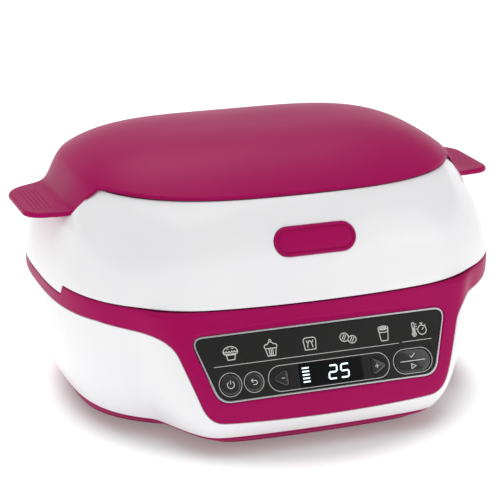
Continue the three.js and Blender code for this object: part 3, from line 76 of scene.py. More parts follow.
def roundedBox(dx, dy, corner):
    # distance from a rounded rectangle, given how far a point is past the middle of its corner's arc
    return np.hypot(np.maximum(dx, 0), np.maximum(dy, 0)) + np.minimum(np.maximum(dx, dy), 0) - corner


def softAbove(value, blend):
    return (value + np.sqrt(value * value + blend * blend)) / 2


def smoothMax(a, b, blend):
    return b + softAbove(a - b, blend)


def smoothStep(value):
    t = np.clip(value, 0, 1)
    return t * t * (3 - 2 * t)


def mix(a, b, share):
    return a + (b - a) * share


def hexColour(text):
    # a screen colour as linear light
    values = [int(text[i:i + 2], 16) / 255 for i in (0, 2, 4)]
    return [v / 12.92 if v <= 0.04045 else ((v + 0.055) / 1.055) ** 2.4 for v in values] + [1.0]


# Shader groups that several finishes share
def newTree(name, kind, inputs, outputs):
    # a tree whose sockets are given as the labels of each kind
    group = bpy.data.node_groups.new(name, kind)
    for way, sockets in (("INPUT", inputs), ("OUTPUT", outputs)):
        for socket, labels in sockets.items():
            for label in labels:
                group.interface.new_socket(name=label, in_out=way, socket_type=f"NodeSocket{socket}")
    return group, group.nodes.new("NodeGroupInput").outputs, group.nodes.new("NodeGroupOutput").inputs


def mathNode(tree, operation, a, b=None, c=None, clamp=False):
    node = tree.nodes.new("ShaderNodeMath")
    node.operation = operation
    node.use_clamp = clamp
    for i, value in enumerate((a, b, c)):
        if value is None:
            continue
        if hasattr(value, "links"):
            tree.links.new(value, node.inputs[i])
        else:
            node.inputs[i].default_value = value
    return node.outputs[0]


def noiseNode(tree, vector, scale, detail=2.0, roughness=0.5):
    node = tree.nodes.new("ShaderNodeTexNoise")
    node.inputs["Detail"].default_value = detail
    node.inputs["Roughness"].default_value = roughness
    tree.links.new(vector, node.inputs["Vector"])
    if hasattr(scale, "links"):
        tree.links.new(scale, node.inputs["Scale"])
    else:
        node.inputs["Scale"].default_value = scale
    return node.outputs["Fac"]


def roughnessSwing(group, given, end, noise):
    centred = mathNode(group, "SUBTRACT", noise, 0.5)
    swing = mathNode(group, "MULTIPLY", centred, given["Roughness Spread"])
    total = mathNode(group, "ADD", given["Roughness"], swing, clamp=True)
    group.links.new(total, end["Roughness"])


# Moulded plastic: slow waves from shrinkage, a fine spark grain, and patches of slightly duller skin
def mouldGroup():
    group, given, end = newTree("mouldedSkin", "ShaderNodeTree", {
        "Vector": ["Vector"],
        "Float": ["Wave Scale", "Wave Height", "Grain Scale", "Grain Height", "Roughness", "Roughness Spread"],
    }, {"Float": ["Height", "Roughness"]})
    wave = noiseNode(group, given["Vector"], given["Wave Scale"], 1.0)
    grain = noiseNode(group, given["Vector"], given["Grain Scale"], 2.0, 0.6)
    high = mathNode(group, "MULTIPLY", wave, given["Wave Height"])
    fine = mathNode(group, "MULTIPLY", grain, given["Grain Height"])
    group.links.new(mathNode(group, "ADD", high, fine), end["Height"])
    roughnessSwing(group, given, end, noiseNode(group, given["Vector"], 38.0, 3.0, 0.6))
    return group


# Fine dust and handling marks: a mask that lightens a surface a little
def dustGroup():
    group, given, end = newTree("settledDust", "ShaderNodeTree", {
        "Vector": ["Vector"], "Color": ["Colour", "Dust Colour"], "Float": ["Amount"],
    }, {"Color": ["Colour"]})
    broad = noiseNode(group, given["Vector"], 22.0, 4.0, 0.65)
    speck = noiseNode(group, given["Vector"], 900.0, 1.0, 0.5)
    patchy, dots = (
        mathNode(group, "MULTIPLY", mathNode(group, "SUBTRACT", noise, level, clamp=True), gain, clamp=True)
        for noise, level, gain in ((broad, 0.35, 2.0), (speck, 0.45, 3.0)))
    both = mathNode(group, "ADD", patchy, dots)
    blend = group.nodes.new("ShaderNodeMix")
    blend.data_type = "RGBA"
    group.links.new(mathNode(group, "MULTIPLY", both, given["Amount"], clamp=True), blend.inputs["Factor"])
    group.links.new(given["Colour"], blend.inputs["A"])
    group.links.new(given["Dust Colour"], blend.inputs["B"])
    group.links.new(blend.outputs["Result"], end["Colour"])
    return group


# Drawn or rolled sheet: fine lines along one direction
def brushGroup():
    group, given, end = newTree("rolledMetal", "ShaderNodeTree", {
        "Vector": ["Vector", "Stretch"], "Float": ["Roughness", "Roughness Spread"],
    }, {"Float": ["Height", "Roughness"]})
    stretch = group.nodes.new("ShaderNodeVectorMath")
    stretch.operation = "MULTIPLY"
    group.links.new(given["Vector"], stretch.inputs[0])
    group.links.new(given["Stretch"], stretch.inputs[1])
    lines = noiseNode(group, stretch.outputs[0], 1.0, 2.0, 0.6)
    group.links.new(lines, end["Height"])
    roughnessSwing(group, given, end, lines)
    return group


sharedGroups = {"mould": mouldGroup(), "dust": dustGroup(), "brush": brushGroup()}


def placeGroup(tree, key, vector, **values):
    node = tree.nodes.new("ShaderNodeGroup")
    node.node_tree = sharedGroups[key]
    tree.links.new(vector, node.inputs["Vector"])
    for label, value in values.items():
        node.inputs[label.replace("_", " ")].default_value = value
    return node


def newMaterial(name, colour, **plain):
    material = bpy.data.materials.new(name)
    material.use_nodes = True
    tree = material.node_tree
    shader = tree.nodes["Principled BSDF"]
    shader.inputs["Base Color"].default_value = colour
    material.diffuse_color = colour
    for label, value in plain.items():
        shader.inputs[label.replace("_", " ")].default_value = value
    place = tree.nodes.new("ShaderNodeTexCoord")
    return material, tree, shader, place.outputs["Object"]


def bumpFrom(tree, shader, height, strength, distance):
    bump = tree.nodes.new("ShaderNodeBump")
    bump.inputs["Strength"].default_value = strength
    bump.inputs["Distance"].default_value = distance
    tree.links.new(height, bump.inputs["Height"])
    tree.links.new(bump.outputs["Normal"], shader.inputs["Normal"])


def colourRamp(tree, factor, low, high, span=(0.0, 1.0)):
    ramp = tree.nodes.new("ShaderNodeValToRGB")
    for end, colour, position in zip(ramp.color_ramp.elements, (low, high), span):
        end.color, end.position = colour, position
    tree.links.new(factor, ramp.inputs["Fac"])
    return ramp.outputs["Color"]


def driftingColour(tree, shader, vector, s, drift, dust, dustColour):
    # the finish's own colour drifts a little over the surface and carries some dust
    patches = noiseNode(tree, vector, s.get("driftScale", drift[0]), drift[1])
    low, high = hexColour(s.get("low", s["colour"])), hexColour(s["colour"])
    dusty = placeGroup(tree, "dust", vector, Amount=s.get("dust", dust),
                       Dust_Colour=hexColour(s.get("dustColour", dustColour)))
    tree.links.new(colourRamp(tree, patches, low, high, (0.3, 0.7)), dusty.inputs["Colour"])
    tree.links.new(dusty.outputs["Colour"], shader.inputs["Base Color"])


def plasticFinish(name, s):
    material, tree, shader, vector = newMaterial(name, hexColour(s["colour"]), **s.get("plain", {}))
    driftingColour(tree, shader, vector, s, (9.0, 2.0), 0.02, "b8b2ad")
    skin = placeGroup(
        tree, "mould", vector, Wave_Scale=s.get("wave", 14.0), Wave_Height=s.get("waveHeight", 0.3),
        Grain_Scale=s.get("grain", 2600.0), Grain_Height=s.get("grainHeight", 0.2),
        Roughness=s["rough"], Roughness_Spread=s.get("roughSpread", 0.06))
    tree.links.new(skin.outputs["Roughness"], shader.inputs["Roughness"])
    bumpFrom(tree, shader, skin.outputs["Height"], s.get("bump", 0.3), s.get("bumpDistance", 0.0002))
    return material


def metalFinish(name, s):
    material, tree, shader, vector = newMaterial(name, hexColour(s["colour"]), Metallic=s.get("metal", 1.0))
    driftingColour(tree, shader, vector, s, (30.0, 3.0), 0.05, "6b655e")
    brush = placeGroup(
        tree, "brush", vector, Stretch=s.get("stretch", (40.0, 1600.0, 1600.0)),
        Roughness=s["rough"], Roughness_Spread=s.get("roughSpread", 0.15))
    tree.links.new(brush.outputs["Roughness"], shader.inputs["Roughness"])
    bumpFrom(tree, shader, brush.outputs["Height"], s.get("bump", 0.12), 0.0001)
    return material


def inkFinish(name, colour, rough, glow=0.0):
    # printed or lit marks
    high = hexColour(colour)
    material, tree, shader, vector = newMaterial(name, high, Roughness=rough)
    tint = colourRamp(tree, noiseNode(tree, vector, 1400.0), [v * 0.9 for v in high[:3]] + [1], high)
    tree.links.new(tint, shader.inputs["Base Color"])
    if glow:
        tree.links.new(tint, shader.inputs["Emission Color"])
        shader.inputs["Emission Strength"].default_value = glow
    return material


finishes = {
    "white": plasticFinish("glossyWhiteShell", {
        "colour": "f6f6f7", "low": "f1f1f3", "rough": 0.2, "roughSpread": 0.04, "dust": 0.01,
        "dustColour": "d9d6d2", "bump": 0.12, "wave": 11.0, "grainHeight": 0.03,
        "plain": {"Specular_IOR_Level": 0.45, "Coat_Weight": 0.25, "Coat_Roughness": 0.08}}),
    "berry": plasticFinish("satinBerryPlastic", {
        "colour": "a80458", "low": "a20355", "rough": 0.4, "roughSpread": 0.06, "dust": 0.004,
        "dustColour": "b85f86", "bump": 0.2, "wave": 12.0, "grain": 2200.0, "grainHeight": 0.12,
        "plain": {"Specular_IOR_Level": 0.1}}),
    "panel": plasticFinish("grainedCharcoalPanel", {
        "colour": "131211", "low": "100f0e", "rough": 0.42, "roughSpread": 0.1, "dust": 0.012,
        "dustColour": "5d5a56", "bump": 0.35, "wave": 20.0, "grain": 3200.0, "grainHeight": 0.8,
        "bumpDistance": 0.00006, "plain": {"Specular_IOR_Level": 0.3}}),
    "key": plasticFinish("glossyBlackKey", {
        "colour": "161616", "low": "121212", "rough": 0.14, "roughSpread": 0.04, "dust": 0.01,
        "bump": 0.06, "grainHeight": 0.02, "plain": {"Coat_Weight": 0.6, "Coat_Roughness": 0.04}}),
    "glass": plasticFinish("smokedDisplayGlass", {
        "colour": "060708", "low": "050607", "rough": 0.06, "roughSpread": 0.02, "dust": 0.008,
        "bump": 0.03, "grainHeight": 0.0, "plain": {"Specular_IOR_Level": 0.22}}),
    "rubber": plasticFinish("footRubber", {
        "colour": "29292a", "low": "222223", "rough": 0.8, "roughSpread": 0.15, "dust": 0.1,
        "dustColour": "77736d", "bump": 0.5, "grain": 1500.0, "grainHeight": 0.6}),
    "dark": plasticFinish("darkHousingPlastic", {
        "colour": "1f2022", "low": "191a1c", "rough": 0.5, "dust": 0.05, "bump": 0.3}),
    "relay": plasticFinish("relayPlastic", {"colour": "2b5fa8", "low": "285798", "rough": 0.4, "dust": 0.05}),
    "board": plasticFinish("circuitBoard", {
        "colour": "1f6b43", "low": "1a5c3a", "rough": 0.42, "dust": 0.05, "driftScale": 160.0, "wave": 260.0,
        "waveHeight": 0.8, "bump": 0.4}),
    "ceramic": plasticFinish("paleCeramic", {"colour": "d8d4c8", "low": "cdc8ba", "rough": 0.6, "dust": 0.06}),
    "silicone": plasticFinish("sealSilicone", {
        "colour": "55575b", "low": "4e5054", "rough": 0.62, "roughSpread": 0.12, "dust": 0.05, "bump": 0.25}),
    "coated": plasticFinish("nonStickCoating", {
        "colour": "3a3b3d", "low": "323335", "rough": 0.4, "roughSpread": 0.14, "dust": 0.03,
        "dustColour": "6a655f", "bump": 0.55, "wave": 40.0, "grain": 1800.0, "grainHeight": 0.9,
        "driftScale": 26.0, "plain": {"Metallic": 0.3}}),
    "trim": metalFinish("brushedTrim", {
        "colour": "c9cbce", "rough": 0.26, "dust": 0.02, "dustColour": "8d8a86"}),
    "steel": metalFinish("platedSteel", {"colour": "b9bcc0", "low": "a9acb1", "rough": 0.32}),
    "sheet": metalFinish("aluminisedSheet", {"colour": "cfd2d4", "low": "bcbfc2", "rough": 0.38}),
    "heater": metalFinish("scaledHeaterTube", {
        "colour": "5a554f", "low": "3f3b38", "rough": 0.5, "roughSpread": 0.25, "dust": 0.2,
        "driftScale": 60.0, "metal": 0.7, "stretch": (300.0, 300.0, 300.0)}),
    "ink": inkFinish("silverPrint", "e2e2e0", 0.45),
    "glow": inkFinish("displayGlow", "dcf4f8", 0.4, 1.15),
}
print("finishes made")


def makeObject(name, points, faces, material, loopNormals=None, sharpAngle=None):
    mesh = bpy.data.meshes.new(name)
    mesh.from_pydata([tuple(p) for p in np.asarray(points)], [], [tuple(int(i) for i in f) for f in faces])
    mesh.materials.append(material)
    mesh.shade_smooth()
    if loopNormals is not None:
        mesh.normals_split_custom_set([tuple(n) for n in loopNormals])
    elif sharpAngle is not None:
        mesh.set_sharp_from_angle(angle=math.radians(sharpAngle))
    piece = bpy.data.objects.new(name, mesh)
    scene.collection.objects.link(piece)
    return piece


def loftMesh(loops, ringed=False):
    # points and faces of a body through equal loops, its ends closed unless the loops meet in a ring
    points = np.concatenate([np.asarray(loop, dtype=float) for loop in loops])
    count = len(loops[0])
    steps = len(loops) if ringed else len(loops) - 1
    faces = []
    for row in range(steps):
        a = row * count
        b = ((row + 1) % len(loops)) * count
        faces += [(a + i, a + (i + 1) % count, b + (i + 1) % count, b + i) for i in range(count)]
    if not ringed:
        faces.append(tuple(reversed(range(count))))
        faces.append(tuple(range((len(loops) - 1) * count, len(loops) * count)))
    fans = np.array([(f[0], f[i], f[i + 1]) for f in faces for i in range(1, len(f) - 1)])
    return points, faces if facesOut(points, fans) else [face[::-1] for face in faces]


def facesOut(points, triangles):
    # whether a closed body's triangles face outwards
    a, b, c = (points[triangles[:, i]] for i in range(3))
    return np.einsum("ij,ij->", a, np.cross(b, c)) > 0


def joinParts(parts):
    points, faces, start = [], [], 0
    for somePoints, someFaces in parts:
        points.append(np.asarray(somePoints, dtype=float))
        faces += [tuple(i + start for i in face) for face in someFaces]
        start += len(somePoints)
    return np.concatenate(points), faces


def addPiece(name, parts, finish, body, replaces=None, sharpAngle=35, place=None):
    points, faces = joinParts(parts)
    if place is not None:
        points = place(points)
    piece = makeObject(name, toMetres(points), faces, finishes[finish], sharpAngle=sharpAngle)
    return settle(piece, body, replaces)


def settle(piece, body, replaces=None):
    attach(piece, body)
    if replaces is not None:
        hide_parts(*([replaces] if isinstance(replaces, str) else replaces))
    return piece


# Skins: a grid of triangles over a surface, cut along lines, with its edges rolled over
def gridLines(half, pitch):
    return np.arange(-half, half + 0.1, pitch)


def gridSkin(columns, rows):
    u, v = np.meshgrid(columns, rows)
    wide = len(columns)
    start = (np.arange(len(rows) - 1)[:, None] * wide + np.arange(wide - 1)[None, :]).ravel()
    a, b, c, d = start, start + 1, start + 1 + wide, start + wide
    faces = np.concatenate([np.stack([a, b, c], 1), np.stack([a, c, d], 1)])
    return np.stack([u.ravel(), v.ravel()], 1), faces


def cutSkin(params, faces, field, level):
    # splits the triangles that cross field == level
    value = field(params) - level
    above = value > 0
    flags = above[faces]
    count = flags.sum(1)
    mixed = (count == 1) | (count == 2)
    if not mixed.any():
        return params, faces
    cut = faces[mixed]
    lone = np.where(count[mixed] == 1, flags[mixed].argmax(1), (~flags[mixed]).argmax(1))
    rows = np.arange(len(cut))
    a, b, c = cut[rows, lone], cut[rows, (lone + 1) % 3], cut[rows, (lone + 2) % 3]
    pairs = np.sort(np.concatenate([np.stack([a, b], 1), np.stack([a, c], 1)]), axis=1)
    edges, where = np.unique(pairs, axis=0, return_inverse=True)
    where = where.reshape(-1)
    low, high = params[edges[:, 0]], params[edges[:, 1]]
    lowValue, highValue = value[edges[:, 0]].copy(), value[edges[:, 1]].copy()
    lowShare, highShare = np.zeros(len(edges)), np.ones(len(edges))
    lowAbove = lowValue > 0
    for _ in range(5):
        t = lowShare + (highShare - lowShare) * np.clip(lowValue / (lowValue - highValue), 0.08, 0.92)
        middle = field(low + (high - low) * t[:, None]) - level
        sameSide = (middle > 0) == lowAbove
        lowShare, lowValue = np.where(sameSide, t, lowShare), np.where(sameSide, middle, lowValue)
        highShare, highValue = np.where(sameSide, highShare, t), np.where(sameSide, highValue, middle)
    t = lowShare + (highShare - lowShare) * lowValue / (lowValue - highValue)
    fresh = low + (high - low) * t[:, None]
    p = len(params) + where[:len(cut)]
    q = len(params) + where[len(cut):]
    pieces = [faces[~mixed], np.stack([a, p, q], 1), np.stack([p, b, c], 1), np.stack([p, c, q], 1)]
    return np.concatenate([params, fresh]), np.concatenate(pieces)


# A border is its field (millimetres inside the line), the radius of its roll, and how far the roll turns
def border(field, radius, turn=90):
    return {"field": field, "radius": radius, "turn": math.radians(turn)}


def borderLevel(line, angle):
    return line["radius"] * (math.sin(line["turn"]) - math.sin(angle))


def borderDrop(line, params):
    r = line["radius"]
    inside = line["field"](params)
    depth = np.clip(r * math.sin(line["turn"]) - inside, 0, r * math.sin(line["turn"]))
    beyond = np.clip(-inside * math.tan(min(line["turn"], 1.54)), 0, 0.5 * r)
    drop = r - np.sqrt(np.maximum(r * r - depth * depth, 0)) + beyond
    return drop * line["scale"](params) if "scale" in line else drop


def trimSkin(params, faces, lines):
    # keeps what lies inside every line, with rows of points for the rolled edges
    for line in lines:
        for share in (0, 0.34, 0.67, 1):
            params, faces = cutSkin(params, faces, line["field"], borderLevel(line, line["turn"] * share))
    middle = params[faces].mean(axis=1)
    keep = np.ones(len(faces), dtype=bool)
    for line in lines:
        keep &= line["field"](middle) > 0
    used, faces = np.unique(faces[keep], return_inverse=True)
    return params[used], faces.reshape(-1, 3)


def surfaceNormal(place, params, steps):
    du, dv = np.array([steps[0], 0.0]), np.array([0.0, steps[1]])
    normal = np.cross(place(params + du) - place(params - du), place(params + dv) - place(params - dv))
    return normal / np.maximum(np.linalg.norm(normal, axis=1), 1e-12)[:, None]


def rolled(place, lines, steps, sign=1.0):
    def at(params):
        drop = np.zeros(len(params))
        for line in lines:
            drop = np.maximum(drop, borderDrop(line, params))
        return place(params) - sign * surfaceNormal(place, params, steps) * drop[:, None]
    return at


# points that round to the same cell of this grid become one point
weldGrid = {"perMillimetre": 500, "shift": 0.1273}


def skinSolid(name, params, faces, outer, inner, steps, material, lining=None, extras=()):
    # a closed body between an outer and an inner surface over the same triangles
    outside = outer(params)
    cells = np.round(outside * weldGrid["perMillimetre"] + weldGrid["shift"]).astype(np.int64)
    _, first, weld = np.unique(cells, axis=0, return_index=True, return_inverse=True)
    faces = weld.reshape(-1)[faces]
    a, b, c = faces.T
    faces = faces[(a != b) & (b != c) & (c != a)]
    _, same, times = np.unique(np.sort(faces, axis=1), axis=0, return_inverse=True, return_counts=True)
    faces = faces[times[same.reshape(-1)] == 1]
    params = params[first]
    outside, inside = outer(params), inner(params)
    count = len(params)
    directed = np.concatenate([faces[:, [0, 1]], faces[:, [1, 2]], faces[:, [2, 0]]])
    present = set(map(tuple, directed.tolist()))
    rim = [(i, j) for i, j in present if (j, i) not in present]
    points, walls, rowOf = [outside, inside], [], []
    if lining is not None:
        picked, rows = lining(params, outside)
        for k, row in enumerate(rows):
            rowOf.append({int(v): 2 * count + k * len(picked) + n for n, v in enumerate(picked)})
            points.append(row)
    for i, j in rim:
        chain = [(i, j)]
        if rowOf and i in rowOf[0] and j in rowOf[0]:
            chain += [(row[i], row[j]) for row in rowOf]
        chain.append((i + count, j + count))
        walls += [(b, a, c, d) for (a, b), (c, d) in zip(chain, chain[1:])]
    outNormal = surfaceNormal(outer, params, steps)
    inNormal = -surfaceNormal(inner, params, steps)
    allPoints = np.concatenate(points)
    allFaces = faces.tolist() + (faces[:, ::-1] + count).tolist() + walls
    loose = 4 * len(walls)
    for somePoints, someFaces in extras:
        start = len(allPoints)
        allPoints = np.concatenate([allPoints, somePoints])
        allFaces += [tuple(i + start for i in face) for face in someFaces]
        loose += sum(len(face) for face in someFaces)
    loopNormals = [outNormal[faces].reshape(-1, 3), inNormal[faces[:, ::-1]].reshape(-1, 3),
                   np.zeros((loose, 3))]
    return makeObject(name, toMetres(allPoints), allFaces, material, np.concatenate(loopNormals))


# The body's form, by the same rules as the solids
form = {
    "seamZ": 101.3, "halfWidth": 169.4, "front": 134.5, "rear": 120.0,
    "upperSide": 26.4, "upperFront": 25.5, "upperRear": 11.0, "upperHeight": 69.5,
    "lowerSide": 17.1, "lowerFront": 17.5, "lowerRear": 11.0, "lowerHeight": 85.3,
    "widthPower": 3.8, "depthPower": 2.9, "edgeWidthPower": 3.3, "edgeDepthPower": 2.6,
    "lowZ": 13.0, "bandZ": 90.0, "seamRise": 4.7, "stepY": -58.0, "stepRun": 4.0, "rearSeamZ": 98.8,
    "edgeHalfWidth": 141.7, "edgeDepth": 109.0, "edgeZ": 170.8,
}
consoleForm = {
    "z": 86.7, "reach": 144.3, "lean": 0.48, "cap": 165.8, "bow": 3.5, "halfWidth": 96.0, "flare": 0.368,
    "flareZ": 44.3, "flank": 1.1, "flankRun": 33.3, "blend": 7.0, "chinZ": 34.0, "chinRun": 45.5,
    "blendBack": 30.0, "blendRise": 10.0, "flankBlend": 8.0,
}
fairing = {"most": 0.896, "top": 131.0, "run": 30.0, "side": 140.0, "sideRun": 60.0}
panelForm = {
    "y": -149.45, "z": 64.15, "tilt": 64.3, "topHalf": 94.6, "lowHalf": 80.0, "halfHeight": 22.2,
    "corner": 8.0,
}


def halfSizes(z):
    f = form
    up = np.maximum((z - f["seamZ"]) / f["upperHeight"], 0)
    down = np.maximum((f["seamZ"] - z) / f["lowerHeight"], 0)
    high = z >= f["seamZ"]
    width = f["halfWidth"] - np.where(high, f["upperSide"] * up ** 2, f["lowerSide"] * down ** 1.9)
    front = f["front"] - np.where(high, f["upperFront"] * up ** 3, f["lowerFront"] * down ** 1.6)
    rear = f["rear"] - np.where(high, f["upperRear"] * up ** 2.2, f["lowerRear"] * down ** 1.8)
    share = np.minimum(up, 1)
    widthPower = mix(f["widthPower"], f["edgeWidthPower"], share)
    return width, front, rear, widthPower, mix(f["depthPower"], f["edgeDepthPower"], share)


def consoleReach(x, z, inset=0.0):
    c = consoleForm
    line = c["reach"] + c["lean"] * (c["z"] - z)
    tuck = softAbove(c["chinZ"] - z, c["blend"]) ** 2 / c["chinRun"]
    capped = line - softAbove(line - c["cap"] + tuck, c["blend"])
    width = c["halfWidth"] + c["flare"] * (z - c["flareZ"]) - inset
    beyond = softAbove(np.abs(x) - width, c["flankBlend"])
    flank = c["flank"] * beyond + beyond * beyond / c["flankRun"]
    return capped - c["bow"] * (x / c["halfWidth"]) ** 2 - flank - inset


def bodyPlace(params, inset=0.0, faired=False):
    # params are an angle round the body and a height; the lid is faired into the console over a longer run
    angle, z = params[:, 0], params[:, 1]
    width, frontHalf, rearHalf, widthPower, depthPower = halfSizes(z)
    c, s = np.cos(angle), np.sin(angle)
    x = (width - inset) * np.sign(c) * np.abs(c) ** (2 / widthPower)
    swing = np.abs(s) ** (2 / depthPower)
    front = (frontHalf - inset) * swing
    reach = smoothMax(front, consoleReach(x, z, inset), consoleForm["blend"])
    rise = smoothStep((form["seamZ"] + consoleForm["flankBlend"] - z) / consoleForm["blendRise"])
    if faired:
        f = fairing
        low = smoothStep((f["top"] - z) / f["run"])
        rise = f["most"] * low * smoothStep((f["side"] - np.abs(x)) / f["sideRun"])
    share = smoothStep(front / consoleForm["blendBack"]) * rise
    y = np.where(s > 0, (rearHalf - inset) * swing, -(front + (reach - front) * share))
    return np.stack([x, y, z], 1)


def innerPlace(params):
    return bodyPlace(params, layout["wall"])


def bodyAt(angles, z, inset=0.0, faired=False):
    return bodyPlace(np.stack([angles, np.full(len(angles), z)], 1), inset, faired)


def evenAngles(z, count, extra=()):
    # angles whose points stand evenly apart round the body at a height
    share = np.linspace(0, 1, 900)
    bendX, bendY = form["widthPower"] / 2, form["depthPower"] / 2
    quarter = np.unique(np.concatenate([np.arccos(share ** bendX), np.arcsin(share ** bendY)]))
    dense = np.concatenate([quarter, np.pi - quarter[::-1], np.pi + quarter, 2 * np.pi - quarter[::-1]])
    dense = np.unique(np.round(dense, 9))
    points = bodyAt(dense, z)
    run = np.concatenate([[0], np.cumsum(np.linalg.norm(np.diff(points, axis=0), axis=1))])
    even = np.interp(np.linspace(0, run[-1], count + 1), run, dense)
    even[-1] = 2 * np.pi
    return np.unique(np.concatenate([even, np.asarray(extra, dtype=float)]))


def seamAngles():
    # extra columns round the step of the seam at both sides
    along = np.linspace(form["stepY"] - 3, form["stepY"] + 3, 9)
    swing = [math.pi + math.asin((-y / form["front"]) ** (form["depthPower"] / 2)) for y in along]
    return swing + [3 * math.pi - a for a in swing]


def seamHeight(x, y):
    f = form
    front = f["seamZ"] + f["seamRise"] * (x / f["halfWidth"]) ** 2
    return mix(front, f["rearSeamZ"], smoothStep((y - f["stepY"]) / f["stepRun"] + 0.5))


def bendPoints(a, b, c, steps):
    t = np.linspace(0, 1, steps + 1)[1:, None]
    return (1 - t) ** 2 * np.array(a) + 2 * t * (1 - t) * np.array(b) + t ** 2 * np.array(c)


def polygonDistance(px, py, polygon):
    # distance to a polygon's edge, negative inside
    best = np.full(px.shape, 1e9)
    inside = np.zeros(px.shape, dtype=bool)
    for (ax, ay), (bx, by) in zip(polygon, np.roll(polygon, -1, axis=0)):
        ex, ey, wx, wy = bx - ax, by - ay, px - ax, py - ay
        t = np.clip((wx * ex + wy * ey) / (ex * ex + ey * ey + 1e-12), 0, 1)
        best = np.minimum(best, (wx - ex * t) ** 2 + (wy - ey * t) ** 2)
        if ay != by:
            inside ^= ((ay > py) != (by > py)) & (px < ex * (py - ay) / ey + ax)
    return np.where(inside, -1.0, 1.0) * np.sqrt(best)


frameLine = {
    "low": (78.0, 27.6), "heel": (89.0, 28.6), "foot": (93.4, 42.0), "waist": (104.8, 73.5),
    "bend": (109.0, 84.0), "neck": (121.0, 86.2), "arm": (150.0, 90.0), "bottom": 25.7, "top": 170.0,
}


def framePolygon():
    f = frameLine
    right = np.concatenate([
        bendPoints((0, f["bottom"]), (f["low"][0] / 2, f["bottom"]), f["low"], 8),
        bendPoints(f["low"], f["heel"], f["foot"], 14), [f["waist"]],
        bendPoints(f["waist"], f["bend"], f["neck"], 14), [f["arm"], (f["arm"][0], f["top"])],
    ])
    return np.concatenate([[(0, f["bottom"])], right, right[::-1] * np.array([-1, 1])])


frameOutline = framePolygon()


def insideFrame(params):
    # how far a point of the body is inside the coloured frame and band
    p = bodyPlace(params)
    band = p[:, 2] - form["bandZ"]
    result = band.copy()
    near = (p[:, 1] < form["stepY"]) & (np.abs(p[:, 0]) < 170)
    result[near] = np.maximum(-polygonDistance(p[near, 0], p[near, 2], frameOutline), band[near])
    return result


def belowSeam(params):
    p = bodyPlace(params)
    return seamHeight(p[:, 0], p[:, 1]) - layout["gap"] - p[:, 2]


def toPanel(points):
    tilt = math.radians(panelForm["tilt"])
    y, z = points[:, 1] - panelForm["y"], points[:, 2] - panelForm["z"]
    turned = [y * math.cos(tilt) + z * math.sin(tilt), z * math.cos(tilt) - y * math.sin(tilt)]
    return np.stack([points[:, 0]] + turned, 1)


def fromPanel(points):
    tilt = math.radians(panelForm["tilt"])
    points = np.asarray(points, dtype=float)
    y = points[..., 1] * math.cos(tilt) - points[..., 2] * math.sin(tilt)
    z = points[..., 1] * math.sin(tilt) + points[..., 2] * math.cos(tilt)
    return np.stack([points[..., 0], y + panelForm["y"], z + panelForm["z"]], -1)


def panelPolygon(grow, steps=12):
    # the panel's outline with round corners, counter-clockwise from the top right
    f = panelForm
    high = f["halfHeight"] + grow
    corners = np.array([
        (f["topHalf"] + grow, high), (-f["topHalf"] - grow, high),
        (-f["lowHalf"] - grow, -high), (f["lowHalf"] + grow, -high),
    ])
    run = f["corner"] + max(grow, -f["corner"] / 2)
    points = []
    for i, corner in enumerate(corners):
        before, after = corners[i - 1] - corner, corners[(i + 1) % 4] - corner
        start = corner + before / np.linalg.norm(before) * run
        end = corner + after / np.linalg.norm(after) * run
        points += [start] + list(bendPoints(start, corner, end, steps))
    return np.array(points)


def roundedRectangle(halfX, halfY, corner, steps=10, centre=(0.0, 0.0)):
    points = []
    for k, (sx, sy) in enumerate([(1, 1), (-1, 1), (-1, -1), (1, -1)]):
        for a in np.linspace(0, math.pi / 2, steps + 1):
            t = a + k * math.pi / 2
            points.append((
                centre[0] + sx * (halfX - corner) + corner * math.cos(t),
                centre[1] + sy * (halfY - corner) + corner * math.sin(t)))
    return np.array(points)


def chamberLoop(out):
    c = chamber
    return roundedRectangle(c["halfX"] + out, c["halfY"] + out, c["corner"] + out, 16, (0, c["y"]))


# Geometry trees for what repeats or follows a path
def shapeTree(name, **inputs):
    return newTree(name, "GeometryNodeTree", {"Geometry": ["Geometry"], **inputs, "Material": ["Finish"]},
                   {"Geometry": ["Geometry"]})


def stepNode(group, kind, settings=None, **wires):
    # a node with its inputs wired or set, by socket name or number
    node = group.nodes.new(kind)
    for label, value in (settings or {}).items():
        setattr(node, label, value)
    for label, value in wires.items():
        key = int(label[1:]) if label[0] == "n" and label[1:].isdigit() else label.replace("_", " ")
        if hasattr(value, "is_output"):
            group.links.new(value, node.inputs[key])
        else:
            node.inputs[key].default_value = value
    return node


def endTree(group, given, end, geometry, mergeBy=None):
    if mergeBy is not None:
        merged = stepNode(group, "GeometryNodeMergeByDistance", Geometry=geometry, Distance=mergeBy)
        geometry = merged.outputs[0]
    solid = stepNode(group, "GeometryNodeRealizeInstances", Geometry=geometry).outputs[0]
    dressed = stepNode(group, "GeometryNodeSetMaterial", Geometry=solid, Material=given["Finish"]).outputs[0]
    group.links.new(dressed, end["Geometry"])
    return group


def splitVector(group, vector):
    return stepNode(group, "ShaderNodeSeparateXYZ", n0=vector).outputs


def sectionGrid(group, given, stepsRound):
    # a grid whose columns follow the section's points, with the share of the way round and the section there
    grid = stepNode(
        group, "GeometryNodeMeshGrid", Size_X=1.0, Size_Y=1.0,
        Vertices_X=given["Section Points"], Vertices_Y=stepsRound)
    position = stepNode(group, "GeometryNodeInputPosition").outputs[0]
    place = splitVector(group, position)
    around = mathNode(group, "ADD", place[1], 0.5, clamp=True)
    last = mathNode(group, "SUBTRACT", given["Section Points"], 1.0)
    across = mathNode(group, "MULTIPLY", mathNode(group, "ADD", place[0], 0.5), last)
    pick = stepNode(
        group, "GeometryNodeSampleIndex", {"data_type": "FLOAT_VECTOR", "domain": "POINT"},
        Geometry=given["Geometry"], Value=position, Index=mathNode(group, "ROUND", across))
    return grid, around, splitVector(group, pick.outputs[0])


